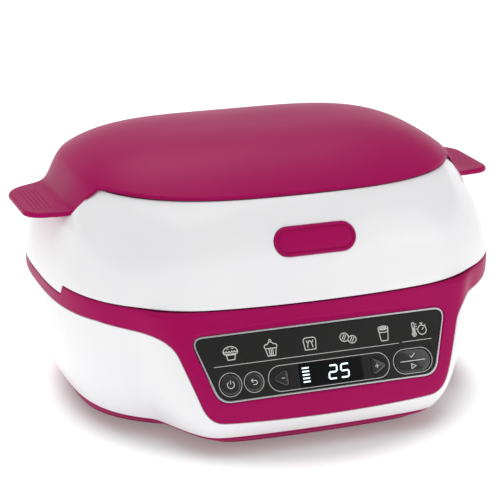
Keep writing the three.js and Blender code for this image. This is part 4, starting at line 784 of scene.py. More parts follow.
def sweptSheetTree():
    # a section swept round a rounded rectangle; a section point is (out, share of the size, height)
    group, given, end = shapeTree(
        "sweptSheet", Float=["Length", "Width", "Corner", "Centre Y"],
        Int=["Corner Steps", "Steps Round", "Section Points"])
    outline = stepNode(
        group, "GeometryNodeCurvePrimitiveQuadrilateral", Width=given["Length"], Height=given["Width"])
    path = stepNode(
        group, "GeometryNodeFilletCurve", {"mode": "POLY"}, Curve=outline.outputs[0],
        Count=given["Corner Steps"], Radius=given["Corner"]).outputs[0]
    grid, around, section = sectionGrid(group, given, given["Steps Round"])
    walk = stepNode(
        group, "GeometryNodeSampleCurve", {"mode": "FACTOR", "use_all_curves": True}, Curves=path,
        Factor=around)
    at = splitVector(group, walk.outputs["Position"])
    along = splitVector(group, walk.outputs["Tangent"])
    out, share, high = section
    x = mathNode(group, "MULTIPLY_ADD", at[0], share, mathNode(group, "MULTIPLY", along[1], out))
    inward = mathNode(group, "MULTIPLY", mathNode(group, "MULTIPLY", along[0], out), -1.0)
    y = mathNode(group, "ADD", mathNode(group, "MULTIPLY_ADD", at[1], share, inward), given["Centre Y"])
    placed = stepNode(group, "ShaderNodeCombineXYZ", X=x, Y=y, Z=high)
    swept = stepNode(
        group, "GeometryNodeSetPosition", Geometry=grid.outputs["Mesh"], Position=placed.outputs[0]).outputs[0]
    return endTree(group, given, end, swept, 0.000005)


def tubeTree():
    # a round tube along the edges it is given
    group, given, end = shapeTree(
        "tubeAlongPath", Float=["Radius", "Bend Radius"], Int=["Sides", "Bend Steps"])
    path = stepNode(group, "GeometryNodeMeshToCurve", Mesh=given["Geometry"]).outputs[0]
    soft = stepNode(
        group, "GeometryNodeFilletCurve", {"mode": "POLY"}, Curve=path, Count=given["Bend Steps"],
        Radius=given["Bend Radius"], Limit_Radius=True).outputs[0]
    ring = stepNode(
        group, "GeometryNodeCurvePrimitiveCircle", Resolution=given["Sides"], Radius=given["Radius"])
    tube = stepNode(
        group, "GeometryNodeCurveToMesh", Curve=soft, Profile_Curve=ring.outputs[0], Fill_Caps=True)
    return endTree(group, given, end, tube.outputs[0])


def springTree():
    group, given, end = shapeTree(
        "coilSpring", Float=["Turns", "Coil Radius", "Height", "Wire Radius"], Vector=["Place"])
    coil = stepNode(
        group, "GeometryNodeCurveSpiral", Resolution=28, Rotations=given["Turns"], Height=given["Height"],
        Start_Radius=given["Coil Radius"], End_Radius=given["Coil Radius"])
    ring = stepNode(group, "GeometryNodeCurvePrimitiveCircle", Resolution=10, Radius=given["Wire Radius"])
    wire = stepNode(
        group, "GeometryNodeCurveToMesh", Curve=coil.outputs[0], Profile_Curve=ring.outputs[0], Fill_Caps=True)
    moved = stepNode(group, "GeometryNodeTransform", Geometry=wire.outputs[0], Translation=given["Place"])
    return endTree(group, given, end, moved.outputs[0])


def lathedSetTree():
    # one turned piece at each given point: its section is the first points, the places are the rest
    group, given, end = shapeTree("turnedSet", Int=["Section Points", "Sides"])
    rank = stepNode(group, "GeometryNodeInputIndex").outputs[0]
    isPlace = stepNode(
        group, "FunctionNodeCompare", {"data_type": "INT", "operation": "GREATER_EQUAL"},
        n2=rank, n3=given["Section Points"]).outputs[0]
    grid, around, section = sectionGrid(group, given, given["Sides"])
    turn = mathNode(group, "MULTIPLY", around, 2 * math.pi)
    x = mathNode(group, "MULTIPLY", section[0], mathNode(group, "COSINE", turn))
    y = mathNode(group, "MULTIPLY", section[0], mathNode(group, "SINE", turn))
    spun = stepNode(group, "ShaderNodeCombineXYZ", X=x, Y=y, Z=section[2])
    lathed = stepNode(
        group, "GeometryNodeSetPosition", Geometry=grid.outputs["Mesh"], Position=spun.outputs[0])
    closed = stepNode(group, "GeometryNodeMergeByDistance", Geometry=lathed.outputs[0], Distance=0.000002)
    places = stepNode(
        group, "GeometryNodeSeparateGeometry", {"domain": "POINT"}, Geometry=given["Geometry"],
        Selection=isPlace)
    spread = stepNode(
        group, "GeometryNodeInstanceOnPoints", Points=places.outputs[0], Instance=closed.outputs[0])
    return endTree(group, given, end, spread.outputs[0])


def barsTree():
    group, given, end = shapeTree("levelBars", Int=["Count"], Float=["Pitch"], Vector=["Bar", "Place", "Tilt"])
    step = stepNode(group, "ShaderNodeCombineXYZ", X=0.0, Y=given["Pitch"], Z=0.0)
    line = stepNode(group, "GeometryNodeMeshLine", Count=given["Count"], Offset=step.outputs[0])
    bar = stepNode(group, "GeometryNodeMeshCube", Size=given["Bar"])
    spread = stepNode(group, "GeometryNodeInstanceOnPoints", Points=line.outputs[0], Instance=bar.outputs[0])
    turn = stepNode(group, "FunctionNodeEulerToRotation", Euler=given["Tilt"])
    moved = stepNode(
        group, "GeometryNodeTransform", Geometry=spread.outputs[0], Translation=given["Place"],
        Rotation=turn.outputs[0])
    return endTree(group, given, end, moved.outputs[0])


def bakeTree(name, group, seedPoints, seedEdges, finish, values, sharpAngle=35):
    # runs a tree over the seed, keeps the plain mesh and drops the modifier
    settings = dict(values, Finish=finishes[finish])
    seed = bpy.data.meshes.new(name + "Seed")
    seed.from_pydata([tuple(p) for p in seedPoints], seedEdges, [])
    holder = bpy.data.objects.new(name + "Seed", seed)
    scene.collection.objects.link(holder)
    modifier = holder.modifiers.new("shape", "NODES")
    modifier.node_group = group
    for item in group.interface.items_tree:
        if item.in_out == "INPUT" and item.name in settings:
            modifier[item.identifier] = settings[item.name]
    graph = bpy.context.evaluated_depsgraph_get()
    mesh = bpy.data.meshes.new_from_object(holder.evaluated_get(graph), depsgraph=graph)
    holder.modifiers.remove(modifier)
    bpy.data.objects.remove(holder)
    bpy.data.meshes.remove(seed)
    mesh.name = name
    mesh.calc_loop_triangles()
    points = np.empty(len(mesh.vertices) * 3)
    corners = np.empty(len(mesh.loop_triangles) * 3, dtype=np.int32)
    mesh.vertices.foreach_get("co", points)
    mesh.loop_triangles.foreach_get("vertices", corners)
    if not facesOut(points.reshape(-1, 3), corners.reshape(-1, 3)):
        mesh.flip_normals()
    mesh.shade_smooth()
    mesh.set_sharp_from_angle(angle=math.radians(sharpAngle))
    piece = bpy.data.objects.new(name, mesh)
    scene.collection.objects.link(piece)
    return piece


trees = {
    "sheet": sweptSheetTree(), "tube": tubeTree(), "spring": springTree(), "turned": lathedSetTree(),
    "bars": barsTree(),
}


def bakeTurned(name, section, places, finish, sides, sharpAngle):
    # the same turned body at each place; its section is drawn as (radius, height)
    points = [(r * millimetre, 0.0, z * millimetre) for r, z in section]
    points += [tuple(p) for p in toMetres(places)]
    counts = {"Section Points": len(section), "Sides": sides}
    return bakeTree(name, trees["turned"], points, [], finish, counts, sharpAngle)


print("geometry trees made")


# a distance that no border reaches
farAway = 60.0
# steps of the surface parameters for a normal: round the body and up it, or in a flat sheet
shellSteps, flatSteps = (0.0004, 0.04), (0.03, 0.03)


# Base shell: white sides and rear below the coloured band
baseShell = {
    "columns": 400, "rowPitch": 3.0, "edge": 0.5, "lowEdge": 1.0, "slotEdge": 0.6,
    "slotHalf": (2.0, 11.0), "slotPitch": 9.0, "slotCount": 7, "slotZ": 45.0, "slotRound": 1.9,
    "glandX": -92.0, "glandZ": 26.0, "glandHole": 9.3,
    "bracketX": 118.0, "bracketOut": 145.5, "bracketY": 40.0, "bracketHalf": 6.0, "bracketZ": (13.3, 20.3),
}


def rearAngle(x):
    # the angle round the body at which a point across the rear stands
    base = math.acos((abs(x) / form["halfWidth"]) ** (form["widthPower"] / 2))
    return base if x >= 0 else math.pi - base


def besideRow(along, pitch, count):
    # how far a place is from the middle of the nearest slot in a row that is centred on zero
    reach = (count - 1) // 2
    return np.abs(along - pitch * np.clip(np.round(along / pitch), -reach, reach))


def rearSlots(params):
    b = baseShell
    p = bodyPlace(params)
    dx = besideRow(p[:, 0], b["slotPitch"], b["slotCount"]) - (b["slotHalf"][0] - b["slotRound"])
    dz = np.abs(p[:, 2] - b["slotZ"]) - (b["slotHalf"][1] - b["slotRound"])
    slot = roundedBox(dx, dz, b["slotRound"])
    gland = np.hypot(p[:, 0] - b["glandX"], p[:, 2] - b["glandZ"]) - b["glandHole"]
    return np.where(p[:, 1] > 0, np.minimum(slot, gland), farAway)


def boxPart(x0, x1, y0, y1, z0, z1):
    loop = [(x0, y0), (x1, y0), (x1, y1), (x0, y1)]
    return loftMesh([[(x, y, z0) for x, y in loop], [(x, y, z1) for x, y in loop]])


def makeBaseShell():
    b = baseShell
    acrossSlots = [rearAngle(x) for x in np.linspace(-31, 31, 63)]
    columns = evenAngles(100, b["columns"], seamAngles() + acrossSlots)
    rowCount = int((form["bandZ"] - form["lowZ"]) / b["rowPitch"]) + 4
    rows = np.linspace(form["lowZ"] - 1, form["bandZ"] + 1, rowCount)
    lines = [
        border(lambda p: -insideFrame(p) - layout["gap"], b["edge"]),
        border(lambda p: p[:, 1] - form["lowZ"], b["lowEdge"]),
        border(rearSlots, b["slotEdge"]),
    ]
    params, faces = trimSkin(*gridSkin(columns, rows), lines)
    outer = rolled(bodyPlace, lines, shellSteps)
    brackets = []
    for sx in (-1, 1):
        for sy in (-1, 1):
            x0, x1 = sorted([sx * (b["bracketX"] - b["bracketHalf"]), sx * b["bracketOut"]])
            y = chamber["y"] + sy * b["bracketY"]
            brackets.append(boxPart(x0, x1, y - b["bracketHalf"], y + b["bracketHalf"], *b["bracketZ"]))
    shell = skinSolid(
        "baseShellSkin", params, faces, outer, innerPlace, shellSteps, finishes["white"], extras=brackets)
    settle(shell, "base", "base_shell")


# Coloured frame: the band round the seam and the console with the panel's recess
rimFrame = {
    "edge": 0.7, "seamEdge": 0.9, "mouthEdge": 1.6, "mouthTurn": 58, "ledgeIn": 1.5, "ledgeZ": -3.3,
    "ledgeThick": 2.6, "ringZ": (93.4, 96.0), "rowPitch": 2.2,
}
# the recess: how far its side stands out of the panel's seat at heights above the panel
bezel = {"seat": 1.9, "runs": (0.0, 1.2, 4.0, 10.6), "outs": (0.0, 0.25, 1.8, 6.0)}
panelOutline = panelPolygon(0.0)


def bezelReach(height):
    return bezel["seat"] + np.interp(height, bezel["runs"], bezel["outs"])


def mouthField(params):
    # how far a point of the body is outside the mouth of the panel's recess
    p = toPanel(bodyPlace(params))
    result = np.full(len(p), farAway)
    near = (np.abs(p) < (125, 50, 40)).all(1)
    result[near] = polygonDistance(p[near, 0], p[near, 1], panelOutline) - bezelReach(p[near, 2])
    return result


def nearestOnOutline(points, outline):
    # the nearest place on an outline and the direction away from it
    a, b = outline, np.roll(outline, -1, axis=0)
    e = b - a
    w = points[:, None, :] - a[None]
    t = np.clip((w * e[None]).sum(2) / ((e * e).sum(1)[None] + 1e-12), 0, 1)
    foot = a[None] + e[None] * t[:, :, None]
    gap = points[:, None, :] - foot
    best = (gap ** 2).sum(2).argmin(1)
    rows = np.arange(len(points))
    away = gap[rows, best]
    return foot[rows, best], away / np.maximum(np.linalg.norm(away, axis=1), 1e-9)[:, None]


def mouthLining(params, outside):
    f = rimFrame
    picked = np.nonzero(np.abs(mouthField(params)) < 0.02)[0]
    local = toPanel(outside[picked])
    foot, away = nearestOnOutline(local[:, :2], panelOutline)
    offLine = np.linalg.norm(local[:, :2] - foot, axis=1) - bezelReach(local[:, 2])
    steps = []
    for share in (0.12, 0.3, 0.5, 0.7, 0.86, 1.0):
        height = mix(local[:, 2], 0.0, share)
        steps.append((bezelReach(height) + offLine * (1 - share) ** 2, height))
    ledgeLow = f["ledgeZ"] - f["ledgeThick"]
    steps += [(bezel["seat"], f["ledgeZ"]), (-f["ledgeIn"], f["ledgeZ"]), (-f["ledgeIn"], ledgeLow),
              (bezel["seat"] + 1, ledgeLow)]
    return picked, [fromPanel(atHeight(foot + away * np.reshape(out, (-1, 1)), height))
                    for out, height in steps]


def atBearing(loop, bearings):
    # the points of a loop in given directions from its middle
    middle = np.array([0.0, chamber["y"]])
    flat = loop - middle
    ahead = np.roll(flat, -1, axis=0)
    flat = np.concatenate([mix(flat, ahead, share) for share in np.linspace(0, 1, 25)[:-1]])
    angle = np.arctan2(flat[:, 1], flat[:, 0]) % (2 * np.pi)
    order = np.argsort(angle)
    angle, radius = angle[order], np.linalg.norm(flat, axis=1)[order]
    length = np.interp(bearings % (2 * np.pi), angle, radius, period=2 * np.pi)
    return middle + np.stack([np.cos(bearings), np.sin(bearings)], 1) * length[:, None]


def flangeRing(low, high, innerLoop, z, faired=False):
    # a flat ring from inside the wall, at half its thickness, to a hole with a softened edge
    outer = bodyAt(evenAngles(z, 240)[:-1], z, layout["wall"] / 2, faired)[:, :2]
    bearing = np.arctan2(outer[:, 1] - chamber["y"], outer[:, 0])
    inner, soft = atBearing(innerLoop, bearing), 0.4
    drawn = inner + np.stack([np.cos(bearing), np.sin(bearing)], 1) * soft
    steps = [(drawn, low), (outer, low), (outer, high), (drawn, high), (inner, high - soft),
             (inner, low + soft)]
    return loftMesh([atHeight(flat, height) for flat, height in steps], ringed=True)


def makeRimFrame():
    f = rimFrame
    columns = evenAngles(100, baseShell["columns"], seamAngles())
    rows = np.arange(24.0, 108.0, f["rowPitch"])
    lines = [
        border(insideFrame, f["edge"]),
        border(belowSeam, f["seamEdge"]),
        border(mouthField, f["mouthEdge"], f["mouthTurn"]),
    ]
    params, faces = trimSkin(*gridSkin(columns, rows), lines)
    outer = rolled(bodyPlace, lines, shellSteps)
    ring = flangeRing(*f["ringZ"], chamberLoop(layout["gap"]), sum(f["ringZ"]) / 2)
    body = skinSolid(
        "rimAndConsoleSkin", params, faces, outer, innerPlace, shellSteps, finishes["berry"], mouthLining,
        [ring])
    settle(body, "base", "rim_and_console_frame")


# Lid shell: white walls from the seam up to the cover and the handles
cover = {
    "crown": 25.2, "crownShare": 1.1, "shoulder": 10.0, "thick": 2.2, "lift": 1.1, "rise": 3.0,
    "earX": 183.2, "earY": 2.0, "earHalf": 37.5, "earCorner": (13.0, 21.0), "earZ": 153.4, "earThick": 3.8,
    "earStart": 103.25, "earEdgeScale": 1.9, "flareRun": 44.5, "flare": 17.0, "flareShare": 2.5,
    "thickFrom": 138.0, "thickTo": 164.0, "blend": 10.0, "fall": 50.0, "fallBend": 150.0, "fallRun": 0.07,
    "pitch": 2.0, "edge": 1.2, "underEdge": 0.5, "notch": 5.0,
}
lidShell = {
    "edge": 0.8, "topEdge": 0.3, "badgeEdge": 0.4, "edgeClear": 0.25, "clear": 0.5, "margin": 0.3, "tuck": 1.0,
    "ringZ": (105.7, 107.9), "ringOut": 3.0, "rowPitch": 3.0,
}
badge = {"halfX": 30.5, "halfY": 10.4, "low": -1.2, "y": -127.58, "z": 143.4, "lean": 22.8, "gap": 0.3}


def coverEdge(x, y):
    across, along = np.abs(x) / form["edgeHalfWidth"], np.abs(y) / form["edgeDepth"]
    return across ** form["edgeWidthPower"] + along ** form["edgeDepthPower"]


def coverTop(x, y):
    c = cover
    q = coverEdge(x, y)
    across = np.abs(x) / form["edgeHalfWidth"]
    edge = form["edgeZ"] + c["lift"] + c["rise"] * across ** 2
    past = np.maximum(q - 1, 0)
    shoulder = c["shoulder"] * across ** form["edgeWidthPower"] / np.maximum(q, 1e-6)
    slope = c["crown"] * c["crownShare"] + shoulder
    inside = edge + c["crown"] * (1 - q ** c["crownShare"]) + shoulder * q * (1 - q)
    dome = np.where(q < 1, inside, edge - slope * past)
    fallen = dome - (c["fall"] - slope) * past * past / (past + c["fallRun"]) - c["fallBend"] * past * past
    return smoothMax(fallen, c["earZ"], c["blend"])


def coverBottom(x, y):
    c = cover
    share = smoothStep((np.abs(x) - c["thickFrom"]) / (c["thickTo"] - c["thickFrom"]))
    return coverTop(x, y) - mix(c["thick"], c["earThick"], share)


def earDistance(x, y):
    c = cover
    run = np.clip(c["earX"] - np.abs(x), 0, c["flareRun"])
    half = c["earHalf"] + c["flare"] * (run / c["flareRun"]) ** c["flareShare"]
    corner = np.where(y < c["earY"], *c["earCorner"])
    dx = np.abs(x) - (c["earX"] - corner)
    dy = np.abs(y - c["earY"]) - (half - corner)
    return roundedBox(dx, dy, corner)


def aboveSeam(params):
    p = bodyPlace(params)
    return p[:, 2] - seamHeight(p[:, 0], p[:, 1]) - layout["gap"]


def underCover(params):
    s = lidShell
    p = bodyPlace(params)
    top = bodyAt(params[:, 0], form["edgeZ"])
    limit = coverBottom(top[:, 0], top[:, 1]) - s["edgeClear"] - p[:, 2]
    beyond = earDistance(p[:, 0], p[:, 1])
    margin = mix(s["margin"], s["clear"], smoothStep(-beyond / s["clear"]))
    under = coverBottom(p[:, 0], p[:, 1]) - p[:, 2]
    tucked = np.minimum(beyond + s["tuck"], under + s["tuck"] * 1.5)
    nearEar = np.abs(p[:, 0]) > cover["earStart"]
    besideEar = np.where(nearEar, np.maximum(beyond - s["edgeClear"], tucked), farAway)
    return np.minimum(limit, np.maximum(under - margin, besideEar))


def stadium(u, v, halfX, halfY):
    return np.hypot(np.maximum(np.abs(u) - (halfX - halfY), 0), v) - halfY


def badgeTurn():
    turn = math.pi / 2 - math.radians(badge["lean"])
    return math.cos(turn), math.sin(turn)


def outsideBadge(params):
    c, s = badgeTurn()
    p = bodyPlace(params)
    v = (p[:, 1] - badge["y"]) * c + (p[:, 2] - badge["z"]) * s
    hole = stadium(p[:, 0], v, badge["halfX"] + badge["gap"], badge["halfY"] + badge["gap"])
    return np.where(p[:, 1] < 0, hole, farAway)


def makeLidShell():
    s = lidShell
    columns = evenAngles(120, baseShell["columns"], seamAngles())
    rows = np.arange(97.0, 176.0, s["rowPitch"])
    lines = [
        border(aboveSeam, s["edge"]), border(underCover, s["topEdge"]), border(outsideBadge, s["badgeEdge"]),
    ]
    params, faces = trimSkin(*gridSkin(columns, rows), lines)
    outer = rolled(lambda p: bodyPlace(p, 0.0, True), lines, shellSteps)
    ring = flangeRing(*s["ringZ"], chamberLoop(s["ringOut"]), sum(s["ringZ"]) / 2, faired=True)
    body = skinSolid(
        "lidShellSkin", params, faces, outer, lambda p: bodyPlace(p, layout["wall"], True), shellSteps,
        finishes["white"], extras=[ring])
    settle(body, "lid", "lid_shell")


# Cover: the domed top with its two side handles
def insideCover(params):
    x, y = params[:, 0], params[:, 1]
    q = coverEdge(x, y)
    ex, ey = form["edgeHalfWidth"], form["edgeDepth"]
    px, py = form["edgeWidthPower"], form["edgeDepthPower"]
    slope = np.hypot(px * np.abs(x) ** (px - 1) / ex ** px, py * np.abs(y) ** (py - 1) / ey ** py)
    dome = np.clip((1 - q) / np.maximum(slope, 1e-4), -60, 60)
    ear = np.minimum(-earDistance(x, y), np.abs(x) - cover["earStart"])
    return smoothMax(dome, ear, cover["notch"])


def earScale(params):
    c = cover
    share = smoothStep((np.abs(params[:, 0]) - c["thickFrom"]) / (c["thickTo"] - c["thickFrom"]))
    return mix(1.0, c["earEdgeScale"], share)


def coverSurface(heightAt):
    return lambda p: atHeight(p, heightAt(p[:, 0], p[:, 1]))


def makeCover():
    c = cover
    columns, rows = gridLines(186.0, c["pitch"]), gridLines(112.0, c["pitch"])
    rim = {"field": lambda p: insideCover(p) / earScale(p), "turn": math.pi / 2, "scale": earScale}
    over, under = dict(rim, radius=c["edge"]), dict(rim, radius=c["underEdge"])
    params, faces = trimSkin(*gridSkin(columns, rows), [over])
    outer = rolled(coverSurface(coverTop), [over], flatSteps)
    inner = rolled(coverSurface(coverBottom), [under], flatSteps, -1.0)
    body = skinSolid("coverSkin", params, faces, outer, inner, flatSteps, finishes["berry"])
    settle(body, "lid", "lid_cover")


# Grip dots: rows of small raised dots on both handles
gripDots = {
    "rowsX": (163.0, 166.0, 169.0, 172.0, 175.0), "halfY": 24.0, "middleY": -1.0, "pitchY": 3.0, "sides": 13,
    "section": [(0.0, -0.6), (0.5, -0.6), (0.5, 0.04), (0.36, 0.2), (0.0, 0.26)],
}


def makeGripDots():
    g = gripDots
    places = []
    for k, x in enumerate(g["rowsX"]):
        shift = 0.5 * g["pitchY"] * (k % 2)
        along = np.arange(-g["halfY"] + shift, g["halfY"] + 0.1, g["pitchY"]) + g["middleY"]
        for side in (-1, 1):
            high = coverTop(np.full(len(along), side * x), along)
            places += [(side * x, y, z) for y, z in zip(along, high)]
    settle(bakeTurned("gripDots", g["section"], places, "berry", g["sides"], 50), "lid")


# Badge: a bare raised plate with a narrow rim
def stadiumOutline(half, radius, steps):
    # counter-clockwise from the lower right; a circle has no straight run and leaves out its doubled points
    run = half - radius
    turns = np.linspace(-math.pi / 2, math.pi / 2, steps + 1)[:None if run > 0 else -1]
    return np.array([(side * (run + radius * math.cos(a)), side * radius * math.sin(a))
                     for side in (1, -1) for a in turns])


def makeBadge():
    b = badge
    c, s = badgeTurn()
    rings = [(0, b["low"]), (0, 1.1), (-0.12, 1.5), (-0.4, 1.82), (-0.85, 2.0), (-1.5, 2.0), (-1.8, 1.86),
             (-2.0, 1.3), (-2.2, 1.1), (-2.6, 1.1), (-2.85, 1.3), (-3.2, 1.6), (-5.5, 1.72), (-8.4, 1.8),
             (-10.1, 1.82)]
    loops = []
    for grow, high in rings:
        x, v = stadiumOutline(b["halfX"] + grow, b["halfY"] + grow, 24).T
        loops.append(np.stack([x, v * c - high * s + b["y"], v * s + high * c + b["z"]], 1))
    addPiece("badgePlate", [loftMesh(loops)], "berry", "lid", "lid_badge", sharpAngle=50)


# Bottom: the coloured tray that closes the base, with its air slots
bottom = {
    "low": 4.0, "wall": 2.6, "inset": 1.3, "floorInset": 6.4,
    "frontTuck": 6.0, "tuckFrom": 40.0, "tuckRun": 60.0, "corner": 1.6, "cornerTurns": (0, 25, 50, 70, 90),
    "sideShares": (0.3, 0.55, 0.8, 1.0), "sideBend": 1.7,
    "lip": 5.0, "lipIn": 4.0, "lipLow": 12.0, "floorLap": 1.5, "pitch": 3.0, "floorEdge": 0.4, "edge": 0.5,
    "slotHalf": (23.0, 2.0), "slotPitch": 9.0, "slotCount": 5, "bankX": 36.0, "round": 1.9,
    "footX": 104.0, "footY": 66.0, "footHole": 3.8, "screwX": 118.0, "screwY": 40.0, "screwHole": 3.9,
}


def bottomSlots(params):
    b = bottom
    x, y = params[:, 0], params[:, 1] - chamber["y"]
    dx = np.abs(np.abs(x) - b["bankX"]) - (b["slotHalf"][0] - b["round"])
    dy = besideRow(y, b["slotPitch"], b["slotCount"]) - (b["slotHalf"][1] - b["round"])
    slot = roundedBox(dx, dy, b["round"])
    foot = np.hypot(np.abs(x) - b["footX"], np.abs(y) - b["footY"]) - b["footHole"]
    screw = np.hypot(np.abs(x) - b["screwX"], np.abs(y) - b["screwY"]) - b["screwHole"]
    return np.minimum(np.minimum(slot, foot), screw)


def bottomRing(angles, inset, height, tucked):
    # a ring of the tray's side; under the console it draws in further by a share of the front tuck
    b = bottom
    plain = bodyAt(angles, form["lowZ"], inset)
    deep = bodyAt(angles, form["lowZ"], inset + b["frontTuck"] * tucked)
    front = smoothStep((-plain[:, 1:2] - b["tuckFrom"]) / b["tuckRun"])
    return atHeight(mix(plain, deep, front), height)


def bottomSides(angles):
    # from the floor up the outside, over the lip inside the base shell, and down again
    b = bottom
    top, wall = form["lowZ"] - layout["gap"], b["wall"]
    turns = [math.radians(turn) for turn in b["cornerTurns"]]
    rings = [(b["floorInset"] - b["corner"] * math.sin(a), b["low"] + b["corner"] * (1 - math.cos(a)), 1.0)
             for a in turns]
    for share in b["sideShares"]:
        drawn = (1 - share) ** b["sideBend"]
        inset = mix(b["inset"], b["floorInset"] - b["corner"], drawn)
        rings.append((inset, mix(b["low"] + b["corner"], top, share), drawn))
    lipTop = form["lowZ"] + b["lip"]
    rings += [(b["lipIn"], top, 0.0), (b["lipIn"], lipTop, 0.0), (b["lipIn"] + wall, lipTop, 0.0),
              (b["lipIn"] + wall, b["lipLow"], 0.0), (b["floorInset"] + b["floorLap"], b["low"] + wall, 1.0),
              (b["floorInset"] + b["floorLap"], b["low"] + 0.3, 1.0)]
    return [bottomRing(angles, *ring) for ring in rings]


def makeBottom():
    b = bottom
    angles = evenAngles(form["lowZ"], 300)[:-1]
    floorOut = bottomRing(angles, b["floorInset"] + 0.6, b["low"], 1.0)[:, :2]
    lines = [
        border(lambda p: -polygonDistance(p[:, 0], p[:, 1], floorOut), b["floorEdge"]),
        border(bottomSlots, b["edge"]),
    ]
    columns, rows = np.arange(-146.0, 146.1, b["pitch"]), np.arange(-150.0, 110.1, b["pitch"])
    params, faces = trimSkin(*gridSkin(columns, rows), lines)
    body = skinSolid(
        "bottomSkin", params, faces, rolled(lambda p: atHeight(p, b["low"] + b["wall"]), [], flatSteps),
        rolled(lambda p: atHeight(p, b["low"]), lines, flatSteps, -1.0), flatSteps, finishes["berry"],
        extras=[loftMesh(bottomSides(angles), ringed=True)])
    settle(body, "base", "bottom_cover")


makeBaseShell()
makeRimFrame()
makeLidShell()
makeCover()
makeGripDots()
makeBadge()
makeBottom()
print("shells made")


# Control panel: grained plate, bright trim line, glossy keys and a smoked window, in the panel's own plane
keys = {
    "power": {"at": (-71.8, -11.5), "radius": 7.2},
    "back": {"at": (-54.6, -11.8), "radius": 6.3},
    "minus": {"at": (-33.6, -11.7), "triangle": 6.3, "turn": math.pi},
    "plus": {"at": (37.8, -12.0), "triangle": 6.3, "turn": 0.0},
    "ok": {"at": (65.2, -11.8), "half": 13.52, "radius": 8.2},
}
keyCap = {
    "clear": 0.35, "skirt": 0.6, "skirtZ": (-4.3, -3.3), "stem": 2.0, "stemZ": (-7.15, -3.0), "crown": 0.16,
    "top": 0.7,
    "rings": [(0, 1, -3.3), (0, 1, 0.1), (-0.1, 1, 0.33), (-0.4, 1, 0.47), (-0.7, 1, 0.535), (-0.7, 0.8, 0.6),
              (-0.7, 0.55, 0.66), (-0.7, 0.3, 0.69), (-0.7, 0.08, 0.7)],
}
window = {
    "at": (2.8, -12.0), "half": (23.52, 8.2), "corner": 1.2, "gap": 0.3,
    "rings": [(0, -2.0), (0, -0.14), (-0.06, -0.04), (-0.2, 0.0), (-0.6, 0.0)],
}
plate = {
    "halfX": 96.0, "halfY": 24.0, "thick": 3.0, "pitch": 1.6, "edge": 0.45, "keyEdge": 0.3,
    "steps": (0.02, 0.02), "postX": 62.0, "postY": 14.0, "postRadius": 3.2, "postLow": -11.7, "postHigh": -2.4,
    "trimRings": [(0.3, -3.0), (0.3, 0.22), (0.42, 0.36), (0.65, 0.4), (1.25, 0.4), (1.48, 0.36), (1.6, 0.22),
                  (1.6, -3.0)],
}


def keyCorners(key):
    # a three-sided key's corner radius, and the turn and the middle of each of its corners
    radius = key["triangle"] / 3
    turns = [key["turn"] + i * 2 * math.pi / 3 for i in range(3)]
    return radius, [(a, (key["triangle"] - radius) * np.array([math.cos(a), math.sin(a)])) for a in turns]


def keyOutline(key, grow, scale=1.0):
    if "triangle" in key:
        radius, corners = keyCorners(key)
        parts = []
        for turn, middle in corners:
            bend = np.linspace(turn - math.pi / 3, turn + math.pi / 3, 15)
            parts.append(middle + (radius + grow) * np.stack([np.cos(bend), np.sin(bend)], 1))
        return np.concatenate(parts) * scale
    half = key.get("half", key["radius"])
    return stadiumOutline(half + grow, key["radius"] + grow, 32) * scale


def keyDistance(key, x, y):
    u, v = x - key["at"][0], y - key["at"][1]
    if "triangle" in key:
        radius, corners = keyCorners(key)
        return polygonDistance(u, v, np.array([corner[1] for corner in corners])) - radius
    return stadium(u, v, key.get("half", key["radius"]), key["radius"])


def windowDistance(x, y, grow):
    w = window
    dx, dy = (np.abs(at - middle) - (half + grow - w["corner"])
              for at, middle, half in zip((x, y), w["at"], w["half"]))
    return roundedBox(dx, dy, w["corner"])


def insidePlate(params):
    return -polygonDistance(params[:, 0], params[:, 1], panelOutline)


def outsideHoles(params):
    x, y = params[:, 0], params[:, 1]
    best = windowDistance(x, y, window["gap"])
    for key in keys.values():
        best = np.minimum(best, keyDistance(key, x, y) - keyCap["clear"])
    return best


def rodPart(x, y, low, high, radius, sides=20):
    ring = arc(x, y, radius, steps=sides)
    return loftMesh([atHeight(ring, low), atHeight(ring, high)])


def makePlate():
    p = plate
    lines = [border(insidePlate, p["edge"]), border(outsideHoles, p["keyEdge"])]
    columns, rows = gridLines(p["halfX"], p["pitch"]), gridLines(p["halfY"], p["pitch"])
    params, faces = trimSkin(*gridSkin(columns, rows), lines)

    def level(height):
        return lambda q: fromPanel(atHeight(q, height))

    posts = []
    for x in (-p["postX"], 0.0, p["postX"]):
        points, postFaces = rodPart(x, p["postY"], p["postLow"], p["postHigh"], p["postRadius"])
        posts.append((fromPanel(points), postFaces))
    body = skinSolid(
        "panelPlate", params, faces, rolled(level(0.0), lines, p["steps"]), level(-p["thick"]), p["steps"],
        finishes["panel"], extras=posts)
    settle(body, "base", "control_panel")
    loops = [atHeight(panelPolygon(grow), high) for grow, high in reversed(p["trimRings"])]
    addPiece("panelTrimLine", [loftMesh(loops, ringed=True)], "trim", "base", "panel_trim",
             place=fromPanel)


def makeWindow():
    w = window
    loops = []
    for grow, high in w["rings"]:
        outline = roundedRectangle(w["half"][0] + grow, w["half"][1] + grow, w["corner"] + grow, 6, w["at"])
        loops.append(atHeight(outline, high))
    addPiece("smokedWindow", [loftMesh(loops)], "glass", "base", "display_window",
             place=fromPanel)


